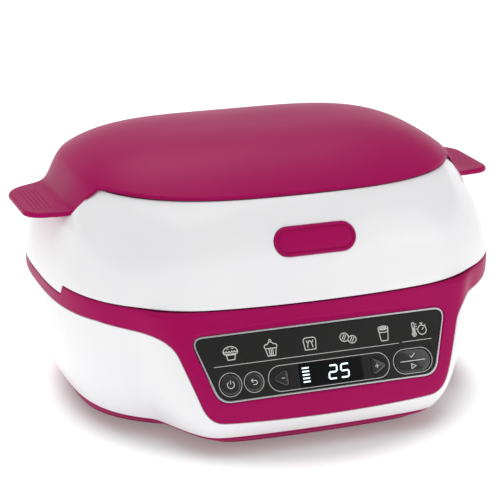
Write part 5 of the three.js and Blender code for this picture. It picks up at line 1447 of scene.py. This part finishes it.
# A flat printed line: a thin strip along a path, on a height that may follow the face beneath
def ribbon(points, width, closed=False, top=0.03, low=-0.04, heightAt=None):
    flat = np.asarray(points, dtype=float)
    before = np.roll(flat, 1, axis=0) if closed else np.vstack([flat[:1] * 2 - flat[1:2], flat[:-1]])
    after = np.roll(flat, -1, axis=0) if closed else np.vstack([flat[1:], flat[-1:] * 2 - flat[-2:-1]])
    first = (flat - before) / np.maximum(np.linalg.norm(flat - before, axis=1), 1e-9)[:, None]
    second = (after - flat) / np.maximum(np.linalg.norm(after - flat, axis=1), 1e-9)[:, None]
    side = np.stack([-(first + second)[:, 1], (first + second)[:, 0]], 1)
    side /= np.maximum(np.linalg.norm(side, axis=1), 1e-9)[:, None]
    lean = np.maximum((side * np.stack([-first[:, 1], first[:, 0]], 1)).sum(1), 0.5)
    side *= (width / 2 / lean)[:, None]
    left, right = flat + side, flat - side

    def lift(edge, level):
        base = np.zeros(len(edge)) if heightAt is None else heightAt(edge[:, 0], edge[:, 1])
        return atHeight(edge, base + level)

    rows = np.stack([lift(right, top), lift(left, top), lift(left, low), lift(right, low)], 1)
    return loftMesh(list(rows[:, ::-1]), ringed=closed)


def flatShape(outline, top=0.03, low=-0.04):
    return loftMesh([atHeight(outline, high) for high in (low, top)])


# Small pictures of baked goods, drawn as open and closed strokes about their own middle
def icing(x0, x1, y, depth, waves, steps=30):
    t = np.linspace(0, 1, steps)
    return np.stack([mix(x0, x1, t), y - depth * np.abs(np.sin(np.pi * waves * t))], 1)


iconShapes = {
    "spongeCake": {"x": -68.5, "closed": [
        np.concatenate([arc(0, 0.8, 4.7, 3.4, 0, 180, 18), [(-4.1, -0.3), (4.1, -0.3)]]),
        [(-2.9, -0.9), (2.9, -0.9), (2.2, -3.9), (-2.2, -3.9)]],
        "open": [icing(-4.4, 4.4, 1.5, 0.9, 5), [(-2.1, 2.7), (-1.0, 3.0)], [(0.7, 3.1), (2.0, 2.8)]]},
    "cupcake": {"x": -38.9, "closed": [
        [(-3.5, 0.0), (3.5, 0.0), (2.5, -4.6), (-2.5, -4.6)], arc(0, 4.6, 0.75)],
        "open": [
            np.concatenate([arc(-2.6, 1.2, 1.5, 1.4, 215, 80, 8), arc(0, 2.5, 1.7, 1.4, 165, 15, 9),
                            arc(2.6, 1.2, 1.5, 1.4, 100, -35, 8)]),
            [(-1.3, -0.3), (-0.95, -4.3)], [(0, -0.3), (0, -4.3)], [(1.3, -0.3), (0.95, -4.3)]]},
    "tinLoaf": {"x": -9.8, "closed": [
        np.concatenate([[(3.5, -3.9)], arc(2.1, 1.6, 2.0, 1.9, -10, 100, 8),
                        arc(-2.1, 1.6, 2.0, 1.9, 80, 190, 8), [(-3.5, -3.9)]])],
        "open": [arc(0, -3.6, 1.7, 5.2, 10, 170, 14), [(-2.3, 1.9), (-1.5, 0.4)], [(2.3, 1.9), (1.5, 0.4)]]},
    "twoCookies": {"x": 19.0, "closed": [arc(-2.3, 0.9, 2.8, 2.6), arc(2.7, -1.0, 2.7, 2.3)], "open": [
        [(-3.9, -0.2), (-2.0, 2.9)], [(-2.9, -0.9), (-0.8, 2.3)], [(1.2, -2.0), (2.9, 0.8)],
        [(2.3, -2.7), (4.2, 0.2)]]},
    "dessertCup": {"x": 46.5, "closed": [arc(0, 3.5, 3.3, 1.15), arc(0, 3.4, 1.9, 0.5, steps=16)], "open": [
        np.concatenate([[(-3.3, 3.4)], arc(-1.5, -3.6, 0.9, 0.9, 190, 270, 5),
                        arc(1.5, -3.6, 0.9, 0.9, 270, 350, 5), [(3.3, 3.4)]]),
        arc(0, 1.6, 2.9, 0.9, 200, 340, 12)]},
    "heatAndTime": {"x": 73.4, "closed": [
        np.concatenate([arc(-3.2, 3.6, 0.8, 0.8, 0, 180, 8), arc(-3.2, -2.9, 1.35, 1.35, 125, 415, 18)]),
        arc(2.4, -0.7, 2.9)],
        "open": [[(-3.2, -2.9), (-3.2, 1.4)], [(-1.7, 3.2), (-0.9, 3.2)], [(-1.7, 1.7), (-0.9, 1.7)],
                 [(-1.7, 0.2), (-0.9, 0.2)], [(2.4, 2.3), (2.4, 3.3)], [(1.4, 3.5), (3.4, 3.5)],
                 [(2.4, -0.7), (3.7, 0.7)], [(4.6, 1.8), (5.2, 2.4)]]},
}
printed = {
    "iconY": 10.0, "stroke": 0.56, "line": 0.34, "scale": 1.14, "bulb": (-3.2, -2.9), "bulbRadius": 0.85,
    "rules": [(-81.9, 56.8, 1.8), (59.5, 82.5, 2.2)],
    "keyRings": [(-71.8, -11.4, 8.2), (-54.6, -11.7, 7.15)],
    "keyFrames": [((1.55, -11.7), 45.55, 9.0), ((65.4, -11.8), 15.0, 8.8)],
}


def makePrint():
    p = printed
    parts = []
    for shape in iconShapes.values():
        middle = np.array([shape["x"], p["iconY"]])
        for closed in (True, False):
            for stroke in shape["closed" if closed else "open"]:
                path = np.asarray(stroke, dtype=float) * p["scale"] + middle
                parts.append(ribbon(path, p["stroke"], closed))
    bulb = np.array(p["bulb"]) * p["scale"] + (iconShapes["heatAndTime"]["x"], p["iconY"])
    parts.append(flatShape(arc(*bulb, p["bulbRadius"], steps=16)))
    for x0, x1, y in p["rules"]:
        parts.append(ribbon(np.stack([np.linspace(x0, x1, 12), np.full(12, y)], 1), p["line"]))
    parts += [ribbon(arc(*ring, steps=60), p["line"], True) for ring in p["keyRings"]]
    parts += [ribbon(stadiumOutline(half, radius, 20) + middle, p["line"], True)
              for middle, half, radius in p["keyFrames"]]
    addPiece("panelPrint", parts, "ink", "base", place=fromPanel)


# Keys: domed caps on skirts and stems, each with its mark
keyMarks = {
    "power": [(arc(0, 0, 3.1, start=125, end=415, steps=26), False), ([(0, 0.4), (0, 3.9)], False)],
    "back": [(np.concatenate([[(-2.4, 1.5), (0.9, 1.5)], arc(0.9, -0.25, 1.75, start=80, end=-90, steps=12),
                              [(-1.4, -2.0)]]), False), ([(-1.0, 3.0), (-2.6, 1.5), (-1.0, 0.0)], False)],
    "minus": [([(-1.1, 0), (1.9, 0)], False)],
    "plus": [([(-2.2, 0), (1.4, 0)], False), ([(-0.4, -1.8), (-0.4, 1.8)], False)],
    "ok": [(np.stack([np.linspace(-9.6, 9.6, 17), np.zeros(17)], 1), False),
           ([(-1.9, 3.7), (-0.6, 2.4), (2.0, 5.3)], False), ([(-1.5, -2.1), (-1.5, -5.5), (1.9, -3.8)], True)],
}


def makeKey(name, key):
    c = keyCap
    centre = np.array([*key["at"], 0.0])
    reach = key.get("half", key.get("radius", key.get("triangle")))
    cap = loftMesh([atHeight(keyOutline(key, grow, scale), high) + centre for grow, scale, high in c["rings"]])
    skirt = loftMesh([atHeight(keyOutline(key, c["skirt"]), high) + centre for high in c["skirtZ"]])
    stem = rodPart(*key["at"], *c["stemZ"], c["stem"])
    body = f"{name}_key"
    addPiece(f"{name}Cap", [cap, skirt, stem], "key", body, f"{name}_button", sharpAngle=60,
             place=fromPanel)

    def face(x, y):
        lean = np.hypot(x - centre[0], y - centre[1]) / reach
        return c["top"] - c["crown"] * lean ** 2

    size, width = (1.0, 0.5) if name == "ok" else (0.8, 0.48)
    marks = [ribbon(np.asarray(path, dtype=float) * size + centre[:2], width, closed, 0.03, -0.3, face)
             for path, closed in keyMarks[name]]
    addPiece(f"{name}Mark", marks, "ink", body, place=fromPanel)


# Lit digits and level bars on the window
display = {
    "digits": "25", "left": 0.2, "low": -17.2, "width": 6.9, "height": 10.4, "gap": 2.1, "stroke": 1.15,
    "lean": 0.1, "segmentGap": 0.14,
    "barCount": 5, "barPitch": 2.4, "bar": (5.2, 1.0, 0.05), "barX": -16.0, "barLow": -16.4,
}
segmentsOf = {"2": "abged", "5": "afgcd"}


def segmentShape(kind, w, h, s):
    # the six corners of one bar of a lit digit, given first as (along, across)
    level = {"a": h - s / 2, "g": h / 2, "d": s / 2}
    if kind in level:
        across, first, last, out = level[kind], s / 2, w - s / 2, -s / 2
    else:
        across, out = s / 2 if kind in "ef" else w - s / 2, s / 2
        first, last = (s / 2, h / 2) if kind in "ce" else (h / 2, h - s / 2)
    bar = [(first, across), (first + s / 2, across + out), (last - s / 2, across + out), (last, across),
           (last - s / 2, across - out), (first + s / 2, across - out)]
    return bar if kind in level else [(x, y) for y, x in bar]


def makeDigits():
    d = display
    parts = []
    for i, digit in enumerate(d["digits"]):
        for kind in segmentsOf[digit]:
            shape = np.array(segmentShape(kind, d["width"], d["height"], d["stroke"]))
            middle = shape.mean(axis=0)
            shape = middle + (shape - middle) * (1 - d["segmentGap"] / 4)
            shape[:, 0] += d["left"] + i * (d["width"] + d["gap"]) + shape[:, 1] * d["lean"]
            shape[:, 1] += d["low"]
            parts.append(flatShape(shape, 0.02, -0.05))
    addPiece("litDigits", parts, "glow", "base", place=fromPanel)
    foot = toMetres(fromPanel(np.array([[d["barX"], d["barLow"], 0.0]])))[0]
    bars = bakeTree("levelBars", trees["bars"], [(0, 0, 0)], [], "glow", {
        "Count": d["barCount"], "Pitch": d["barPitch"] * millimetre, "Bar": [v * millimetre for v in d["bar"]],
        "Place": tuple(foot), "Tilt": (math.radians(panelForm["tilt"]), 0.0, 0.0)})
    settle(bars, "base")


makePlate()
makeWindow()
makePrint()
for keyName, keyFacts in keys.items():
    makeKey(keyName, keyFacts)
makeDigits()
print("panel and keys made")


# Sheet parts inside: sections given as (out, share of the size, height) and swept by the sheet tree
def bentSide(drawn, bend, share, floor, down=1):
    # from the middle of a floor or roof to the foot of its wall, which stands in by what is drawn
    turns = np.linspace(0, math.pi / 2, 7)
    wall = [(-drawn - bend * (1 - math.sin(a)), share, floor + down * bend * (1 - math.cos(a))) for a in turns]
    return [(0.0, 0.0, floor)] + wall


def bowlSection(inset, floorZ, rimZ, rimOut, sheet, share, bend=8.0):
    top = rimZ + sheet
    outer = bentSide(inset, bend, share, floorZ - sheet)
    outer += [(-inset, 1.0, rimZ - 1.2), (-inset + 0.35, 1.0, rimZ - 0.35), (-inset + 1.2, 1.0, rimZ),
              (rimOut - 0.4, 1.0, rimZ), (rimOut, 1.0, rimZ + 0.35)]
    inner = [(rimOut, 1.0, top - 0.35), (rimOut - 0.4, 1.0, top), (-inset + 1.0, 1.0, top),
             (-inset - sheet + 0.5, 1.0, top - 0.55), (-inset - sheet, 1.0, top - 2.2)]
    return outer + inner + bentSide(inset + sheet, bend, share, floorZ)[::-1]


def sweepSheet(name, section, finish, body, node, sharp=32):
    points = [(out * millimetre, share, high * millimetre) for out, share, high in section]
    c = chamber
    piece = bakeTree(name, trees["sheet"], points, [], finish, {
        "Length": 2 * c["halfX"] * millimetre, "Width": 2 * c["halfY"] * millimetre,
        "Corner": c["corner"] * millimetre, "Centre Y": (layout["shiftY"] + c["y"]) * millimetre,
        "Corner Steps": 18, "Steps Round": 241, "Section Points": len(points)}, sharp)
    settle(piece, body, node)


sheets = {
    "well": {"inset": 0.0, "floorZ": 40.0, "rimZ": 96.0, "rimOut": 14.0, "sheet": 1.2, "share": 0.94},
    "tray": {"inset": 4.2, "floorZ": 44.0, "rimZ": 97.5, "rimOut": 3.4, "sheet": 1.5, "share": 0.94},
    "liner": {"low": 104.4, "high": 105.4, "roof": 148.0, "share": 0.84, "bend": 9.0, "flange": 15.0,
              "sheet": 1.0},
    "seal": {"out": 7.3, "width": 5.5, "low": 97.5, "high": 104.1, "groove": 1.4},
}


def linerSection():
    s = sheets["liner"]
    low, high, flange, sheet = s["low"], s["high"], s["flange"], s["sheet"]
    under = bentSide(0.0, s["bend"], s["share"], s["roof"], -1)
    under += [(0.0, 1.0, low + 1.4), (0.4, 1.0, low + 0.4), (1.4, 1.0, low), (flange - 0.3, 1.0, low),
              (flange, 1.0, low + 0.3)]
    over = [(flange, 1.0, high), (2.4, 1.0, high), (1.4, 1.0, high + 1.0)]
    return under + over + bentSide(-sheet, s["bend"] + sheet, s["share"], s["roof"] + sheet, -1)[::-1]


def sealSection():
    # a rib on top, a bulb with two lips that meets the rim below
    s = sheets["seal"]
    out, low, high, groove = s["out"], s["low"], s["high"], s["groove"]
    far, middle = out + s["width"], out + s["width"] / 2
    flat = [(out, high), (out, high - 2.2), (out + 0.5, high - 2.6), (out, high - 3.0),
            (out, low + groove + 0.4), (out + 0.35, low + 0.5), (out + groove, low),
            (middle - 0.5, low + 0.25), (middle, low + 0.9),
            (middle + 0.5, low + 0.25), (far - 1.2, low), (far - 0.3, low + 0.5), (far, low + groove),
            (far, high - 3.0), (far - 0.5, high - 2.6), (far, high - 2.2), (far, high), (out, high)]
    return [(x, 1.0, z) for x, z in flat]


lug = {
    "x": 130.8, "half": (17.0, 12.0), "corner": 6.0, "drop": -1.0, "z": 98.25, "eye": (10.0, 1.7),
    "eyeCorner": 1.5, "eyeUp": 6.1, "soft": 0.4, "edgeHalf": 0.5, "halfThick": 0.9,
}


def raysTo(loop, middle, angles):
    # where rays from the middle meet a loop round it
    reach = []
    for a in angles:
        d = np.array([math.cos(a), math.sin(a)])
        best = 0.0
        for p, q in zip(loop, np.roll(loop, -1, axis=0)):
            e, w = q - p, p - middle
            det = d[0] * -e[1] + d[1] * e[0]
            if abs(det) < 1e-12:
                continue
            far = (w[0] * -e[1] + w[1] * e[0]) / det
            along = (d[0] * w[1] - d[1] * w[0]) / det
            if far > 0 and -1e-9 <= along <= 1 + 1e-9:
                best = max(best, far)
        reach.append(best)
    return middle + np.stack([np.cos(angles), np.sin(angles)], 1) * np.array(reach)[:, None]


def lugPart(side):
    # a lifting lug on the tray's rim: rounded plate with an eye, its edges softened
    g = lug
    half = g["half"][0]
    outline = roundedRectangle(*g["half"], g["corner"], 8, (0, g["drop"]))
    outline = np.concatenate([outline[outline[:, 1] > -0.01], [(-half, 0.0), (half, 0.0)]])
    outer = [outline[0]]
    for point in outline[1:]:
        if math.dist(outer[-1], point) > 0.02:
            outer.append(point)
    outer = np.array(outer)
    middle = np.array([0.0, g["eyeUp"]])
    eye = roundedRectangle(*g["eye"], g["eyeCorner"], 6, middle)
    corners = [np.arctan2(loop[:, 1] - middle[1], loop[:, 0] - middle[0]) for loop in (outer, eye)]
    bearing = np.unique(np.concatenate([*corners, np.linspace(-math.pi, math.pi, 49)[:-1]]))
    away = np.stack([np.cos(bearing), np.sin(bearing)], 1)
    outerAt, eyeAt = raysTo(outer, middle, bearing), raysTo(eye, middle, bearing)
    soft, edge, thick = g["soft"], g["edgeHalf"], g["halfThick"]
    rows = []
    for flat, off, out in [(outerAt, -soft, thick), (outerAt, 0.0, edge), (outerAt, 0.0, -edge),
                           (outerAt, -soft, -thick), (eyeAt, soft, -thick), (eyeAt, 0.0, -edge),
                           (eyeAt, 0.0, edge), (eyeAt, soft, thick)]:
        rows.append(standing(flat + away * off, 0, side * (g["x"] + out), (chamber["y"], g["z"])))
    return loftMesh(rows if side < 0 else rows[::-1], ringed=True)


def makeSheets():
    s = sheets
    sweepSheet("cookingWellSheet", bowlSection(**s["well"]), "coated", "base", "cooking_well")
    sweepSheet("bakingTraySheet", bowlSection(**s["tray"]), "coated", "base", "baking_tray")
    addPiece("trayLugs", [lugPart(-1), lugPart(1)], "coated", "base", sharpAngle=50)
    sweepSheet("lidLinerSheet", linerSection(), "coated", "lid", "lid_liner")
    sweepSheet("lidSealRing", sealSection(), "silicone", "lid", "lid_seal")


# Turned pieces set at four corners: feet, base screws and lid screws
turnedSets = {
    "footSet": {"finish": "rubber", "body": "base", "slot": "foot_rubber", "node": "foot", "z": 0.0,
                "places": (104.0, 66.0), "section": [
                    (0, 0.5), (3.2, 0.5), (3.6, 0.0), (7.8, 0.0), (8.6, 0.35), (9.0, 1.2), (9.0, 3.6),
                    (8.7, 4.0), (3.5, 4.0), (3.5, 8.0), (3.2, 8.2), (0, 8.2)]},
    "baseScrewSet": {"finish": "steel", "body": "base", "slot": "steel", "node": "base_screw", "z": 4.5,
                     "places": (118.0, 40.0), "section": [
                         (0, 1.2), (1.5, 1.2), (1.6, 0.15), (3.0, 0.0), (3.45, 0.25), (3.6, 0.7), (3.6, 1.8),
                         (1.8, 1.8), (1.8, 13.4), (1.2, 14.0), (0, 14.0)]},
    "lidScrewSet": {"finish": "steel", "body": "lid", "slot": "steel", "node": "lid_screw", "z": 102.5,
                    "places": (81.6, 102.3), "section": [
                        (0, 1.0), (1.1, 1.0), (1.2, 0.12), (2.3, 0.0), (2.65, 0.2), (2.8, 0.6), (2.8, 1.6),
                        (1.5, 1.6), (1.5, 6.5), (1.0, 7.0), (0, 7.0)]},
}


def makeTurnedSets():
    corners = {"front_left": (-1, -1), "front_right": (1, -1), "rear_right": (1, 1), "rear_left": (-1, 1)}
    for name, s in turnedSets.items():
        x, y = s["places"]
        places = [(sx * x, chamber["y"] + sy * y, s["z"]) for sx, sy in corners.values()]
        piece = bakeTurned(name, s["section"], places, s["finish"], 49, 40)
        settle(piece, s["body"], [f"{s['node']}_{corner}" for corner in corners])


# Tubular heaters and the sensor's spring
heaters = {
    "lower": {"z": 34.35, "insetX": 40.0, "insetY": 38.0, "corner": 30.0, "tail": -13.0, "body": "base"},
    "upper": {"z": 153.45, "insetX": 52.0, "insetY": 48.0, "corner": 28.0, "tail": 12.0, "body": "lid"},
}
heaterTube = {"radius": 3.25, "terminalX": 16.0, "bendLess": 18.0}
spring = {"turns": 4.5, "radius": 5.2, "high": 17.5, "wire": 0.55, "foot": 15.2}


def makeHeaters():
    tube = heaterTube
    for word, h in heaters.items():
        x, y, z = chamber["halfX"] - h["insetX"], chamber["halfY"] - h["insetY"], h["z"]
        half = [(tube["terminalX"], y, z + h["tail"]), (tube["terminalX"], y, z), (x, y, z), (x, -y, z)]
        path = half + [(-px, py, pz) for px, py, pz in reversed(half)]
        points = [tuple(p) for p in toMetres([(px, py + chamber["y"], pz) for px, py, pz in path])]
        bent = bakeTree(
            f"{word}HeaterTube", trees["tube"], points, [(i, i + 1) for i in range(len(points) - 1)], "heater",
            {"Radius": tube["radius"] * millimetre, "Sides": 24, "Bend Steps": 10,
             "Bend Radius": (h["corner"] - tube["bendLess"]) * millimetre}, 40)
        settle(bent, h["body"], f"{word}_heating_element")


def makeSpring():
    s = spring
    coil = bakeTree("sensorCoil", trees["spring"], [(0, 0, 0)], [], "steel", {
        "Turns": s["turns"], "Coil Radius": s["radius"] * millimetre, "Height": s["high"] * millimetre,
        "Wire Radius": s["wire"] * millimetre,
        "Place": (0.0, (layout["shiftY"] + chamber["y"]) * millimetre, s["foot"] * millimetre)}, 60)
    settle(coil, "base", "sensor_spring")


# Hinges: swept knuckles on the lid, straps with two knuckles on the base, pins with flat heads
hinge = {
    "x": 72.0, "y": 127.5, "z": 96.6, "barrel": 4.6, "pin": 1.9, "wall": -10.1, "lidHalf": 10.0, "side": 8.0,
    "play": 0.4, "leafUp": 21.0, "leafDown": -14.0, "bend": 0.55, "round": 0.9, "plateHalf": (18.4, 5.5),
    "plateZ": 83.1, "plateFace": -5.1, "plateSoft": 0.8, "plateRound": 3.0, "head": 2.6,
}


def knucklePart(x0, x1, leaf):
    h = hinge
    up = math.copysign(1, leaf)
    turns = np.linspace(math.pi, 2 * math.pi, 20)
    barrel = h["barrel"] * np.stack([np.cos(turns), up * np.sin(turns)], 1)
    curve = bendPoints((h["barrel"], 0), (h["barrel"], leaf * h["bend"]), (h["wall"], leaf), 14)
    flat = np.concatenate([barrel, curve, [(h["wall"], 0.0)]])
    before, after = np.roll(flat, 1, axis=0), np.roll(flat, -1, axis=0)
    tangent = after - before
    normal = np.stack([tangent[:, 1], -tangent[:, 0]], 1) * up
    normal /= np.linalg.norm(normal, axis=1)[:, None]
    rows = []
    for x, draw in ((x0, h["round"]), (x0 + 0.27, 0.27), (x0 + h["round"], 0.0),
                    (x1 - h["round"], 0.0), (x1 - 0.27, 0.27), (x1, h["round"])):
        rows.append(standing(flat - normal * draw, 0, x, (h["y"], h["z"])))
    return loftMesh(rows[::-1] if up > 0 else rows)


def makeHinges():
    h = hinge
    inner = h["lidHalf"] + h["play"]
    reach = inner + h["side"]
    # the strap from the wall out, as (out, drawn in), and the pin from its left end, as (x, radius)
    face, soft = h["plateFace"], h["plateSoft"]
    strapRings = [(h["wall"], 0.0), (face - soft, 0.0), (face - 0.25, 0.25), (face, soft)]
    pinRings = [(-reach, 1.5), (-reach + 0.4, h["pin"]), (reach + 0.3, h["pin"]), (reach + 0.3, 2.4),
                (reach + 0.5, h["head"]), (reach + 1.3, h["head"]), (reach + 1.7, 2.2)]
    for side, word in ((-1, "left"), (1, "right")):
        x = side * h["x"]
        knuckle = knucklePart(x - h["lidHalf"], x + h["lidHalf"], h["leafUp"])
        addPiece(f"lidKnuckle_{word}", [knuckle], "white", "lid", f"lid_hinge_{word}", 40)
        rows = []
        for out, draw in strapRings:
            halfX, halfZ = (half - draw for half in h["plateHalf"])
            outline = roundedRectangle(halfX, halfZ, h["plateRound"] - draw, 6)
            rows.append(standing(outline, 1, h["y"] + out, (x, h["plateZ"])))
        strap = [loftMesh(rows[::-1]), knucklePart(x - reach, x - inner, h["leafDown"]),
                 knucklePart(x + inner, x + reach, h["leafDown"])]
        addPiece(f"baseStrap_{word}", strap, "berry", "base", f"base_hinge_{word}", 40)
        pin = loftMesh([standing(arc(h["y"], h["z"], r, steps=28), 0, x + px) for px, r in pinRings])
        addPiece(f"hingePinTurned_{word}", [pin], "steel", "base", f"hinge_pin_{word}", 40)


makeSheets()
makeTurnedSets()
makeHeaters()
makeSpring()
makeHinges()
print("inside and hinges made")


# CAD nodes that keep their own shape and get a finish
dressed = {
    "dark": ["display_module"] + [f"{name}_switch" for name in keys],
    "board": ["control_board", "power_board"],
    "relay": ["power_relay", "filter_capacitor"],
    "sheet": ["lower_heat_shield", "upper_heat_reflector"],
    "steel": ["lower_temperature_sensor", "upper_temperature_sensor"],
    "ceramic": ["lower_thermal_fuse", "upper_thermal_fuse"],
}


def dressCarried():
    for finish, names in dressed.items():
        for name in names:
            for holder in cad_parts[name].material_slots:
                holder.material = finishes[finish]
    print("carried nodes dressed:", sum(len(names) for names in dressed.values()))


# Cord gland: a ribbed round bush in the rear wall, where the mains lead goes in
gland = {
    "x": -92.0, "z": 26.0, "bore": 3.8, "mouth": 5.0, "radius": 9.0, "flange": 12.5, "thick": 2.5, "out": 9.0,
    "tail": 7.0, "tip": 6.6, "ribs": 3, "ribDeep": 0.7,
}


def makeGland():
    g = gland
    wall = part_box("cord_gland")[1][1] / millimetre - layout["shiftY"] - g["out"]
    radius, flange, thick, tip, out = g["radius"], g["flange"], g["thick"], g["tip"], g["out"]
    section = [(g["bore"], -g["tail"]), (radius - 1.0, -g["tail"]), (radius, -g["tail"] + 1.0), (radius, 0.1),
               (flange - 0.4, 0.1), (flange, 0.5), (flange, thick - 0.9), (flange - 0.8, thick)]
    run = (out - thick - 0.8) / g["ribs"]
    for k in range(g["ribs"]):
        start, wide = thick + run * k, mix(radius - 0.4, tip, k / g["ribs"])
        narrow = wide - g["ribDeep"]
        section += [(wide, start + 0.15), (wide, start + run * 0.55), (narrow, start + run * 0.68),
                    (narrow, start + run * 0.95)]
    section += [(tip - 0.5, out - 0.6), (tip - 1.1, out), (g["mouth"] + 0.1, out),
                (g["mouth"] - 0.4, out - 0.3), (g["bore"], out - 2.0)]
    loops = [standing(arc(g["x"], g["z"], r, steps=48), 1, wall + along) for r, along in section]
    addPiece("cordGlandBush", [loftMesh(loops, True)], "rubber", "base", "cord_gland",
             sharpAngle=50)


dressCarried()
makeGland()


# Camera, floor and light as in a shop photograph: white ground and a soft shadow under the body
view = {
    "place": (-0.46426, -1.26750, 0.54397), "aim": (-0.00199, 0.015787, 0.09604), "lens": 134.904,
    "sensor": 36.0,
}
lampAim = (0, 0, 0.1)
lamps = {
    "topSoftbox": {"place": (-0.2, -0.1, 1.9), "size": (1.8, 1.4), "power": 8.2},
    "leftSoftbox": {"place": (-1.9, 0.1, 0.7), "size": (1.2, 1.2), "power": 1.1},
    "rightSoftbox": {"place": (1.45, -1.5, 0.95), "size": (1.3, 1.3), "power": 4.9},
    "rearSoftbox": {"place": (0.1, 1.2, 1.9), "size": (1.4, 1.0), "power": 11.5},
}
# ranges are given as (from, to); the room is bright overhead and dim at the level of the table
room = {"height": (0.0, 0.75), "strength": (0.2, 0.48)}
# the floor's glow drops from lift[1] to lift[0] inside the ellipse given by reach round middleY: a painted
# shadow under the body
ground = {
    "colour": "d2d2d2", "liftAway": (0.86, 1.06), "lift": (0.2, 0.6), "reach": (0.163, 0.16),
    "middleY": -0.015,
    "sweep": [(0.02, 0), (0.5, 0), (1.2, 0), (2.0, 0), (2.35, 0.02), (2.7, 0.12), (2.95, 0.34), (3.08, 0.65),
              (3.12, 1.0)],
}


def placeAimed(name, content, place, aim):
    holder = bpy.data.objects.new(name, content)
    holder.location = place
    holder.rotation_euler = (Vector(aim) - Vector(place)).to_track_quat("-Z", "Y").to_euler()
    scene.collection.objects.link(holder)
    return holder


def smoothRange(tree, value, source, target):
    spread = tree.nodes.new("ShaderNodeMapRange")
    spread.interpolation_type = "SMOOTHSTEP"
    tree.links.new(value, spread.inputs["Value"])
    for label, limits in (("From", source), ("To", target)):
        spread.inputs[f"{label} Min"].default_value, spread.inputs[f"{label} Max"].default_value = limits
    return spread.outputs["Result"]


def makeCamera():
    camera = bpy.data.cameras.new("productCamera")
    camera.lens = view["lens"]
    camera.sensor_width = view["sensor"]
    camera.clip_start, camera.clip_end = 0.05, 20
    scene.camera = placeAimed("productCamera", camera, view["place"], view["aim"])


def makeLights():
    for name, s in lamps.items():
        lamp = bpy.data.lights.new(name, "AREA")
        lamp.shape = "RECTANGLE"
        lamp.size, lamp.size_y = s["size"]
        lamp.energy = s["power"]
        placeAimed(name, lamp, s["place"], lampAim)
    world = bpy.data.worlds.new("paleStudio")
    world.use_nodes = True
    tree = world.node_tree
    background = tree.nodes["Background"]
    place = tree.nodes.new("ShaderNodeTexCoord")
    split = tree.nodes.new("ShaderNodeSeparateXYZ")
    tree.links.new(place.outputs["Generated"], split.inputs[0])
    strength = smoothRange(tree, split.outputs["Z"], room["height"], room["strength"])
    tree.links.new(strength, background.inputs["Strength"])
    background.inputs["Color"].default_value = (1, 1, 1, 1)
    scene.world = world


def makeFloor():
    # a round floor whose rim sweeps up far behind the object
    g = ground
    points, faces = loftMesh([atHeight(arc(0, 0, r, steps=96), z) for r, z in g["sweep"]])
    pale = hexColour(g["colour"])
    material, tree, shader, vector = newMaterial("paleGround", pale, Roughness=0.9)
    tint = colourRamp(tree, noiseNode(tree, vector, 3.0), [v * 0.98 for v in pale[:3]] + [1], pale)
    tree.links.new(tint, shader.inputs["Base Color"])
    # painted shadow: the floor glows less inside an ellipse round the body, deepening the real shadow that the
    # lamps cast
    about = tree.nodes.new("ShaderNodeMapping")
    about.vector_type = "TEXTURE"
    about.inputs["Location"].default_value = (0, g["middleY"], 0)
    about.inputs["Scale"].default_value = (*g["reach"], 1)
    tree.links.new(vector, about.inputs["Vector"])
    away = tree.nodes.new("ShaderNodeVectorMath")
    away.operation = "LENGTH"
    tree.links.new(about.outputs["Vector"], away.inputs[0])
    shader.inputs["Emission Color"].default_value = (1, 1, 1, 1)
    glow = smoothRange(tree, away.outputs["Value"], g["liftAway"], g["lift"])
    tree.links.new(glow, shader.inputs["Emission Strength"])
    makeObject("paleFloor", points, faces[:-1], material)


makeCamera()
makeLights()
makeFloor()
scene.view_settings.view_transform = "Standard"
print("camera, light and floor made")
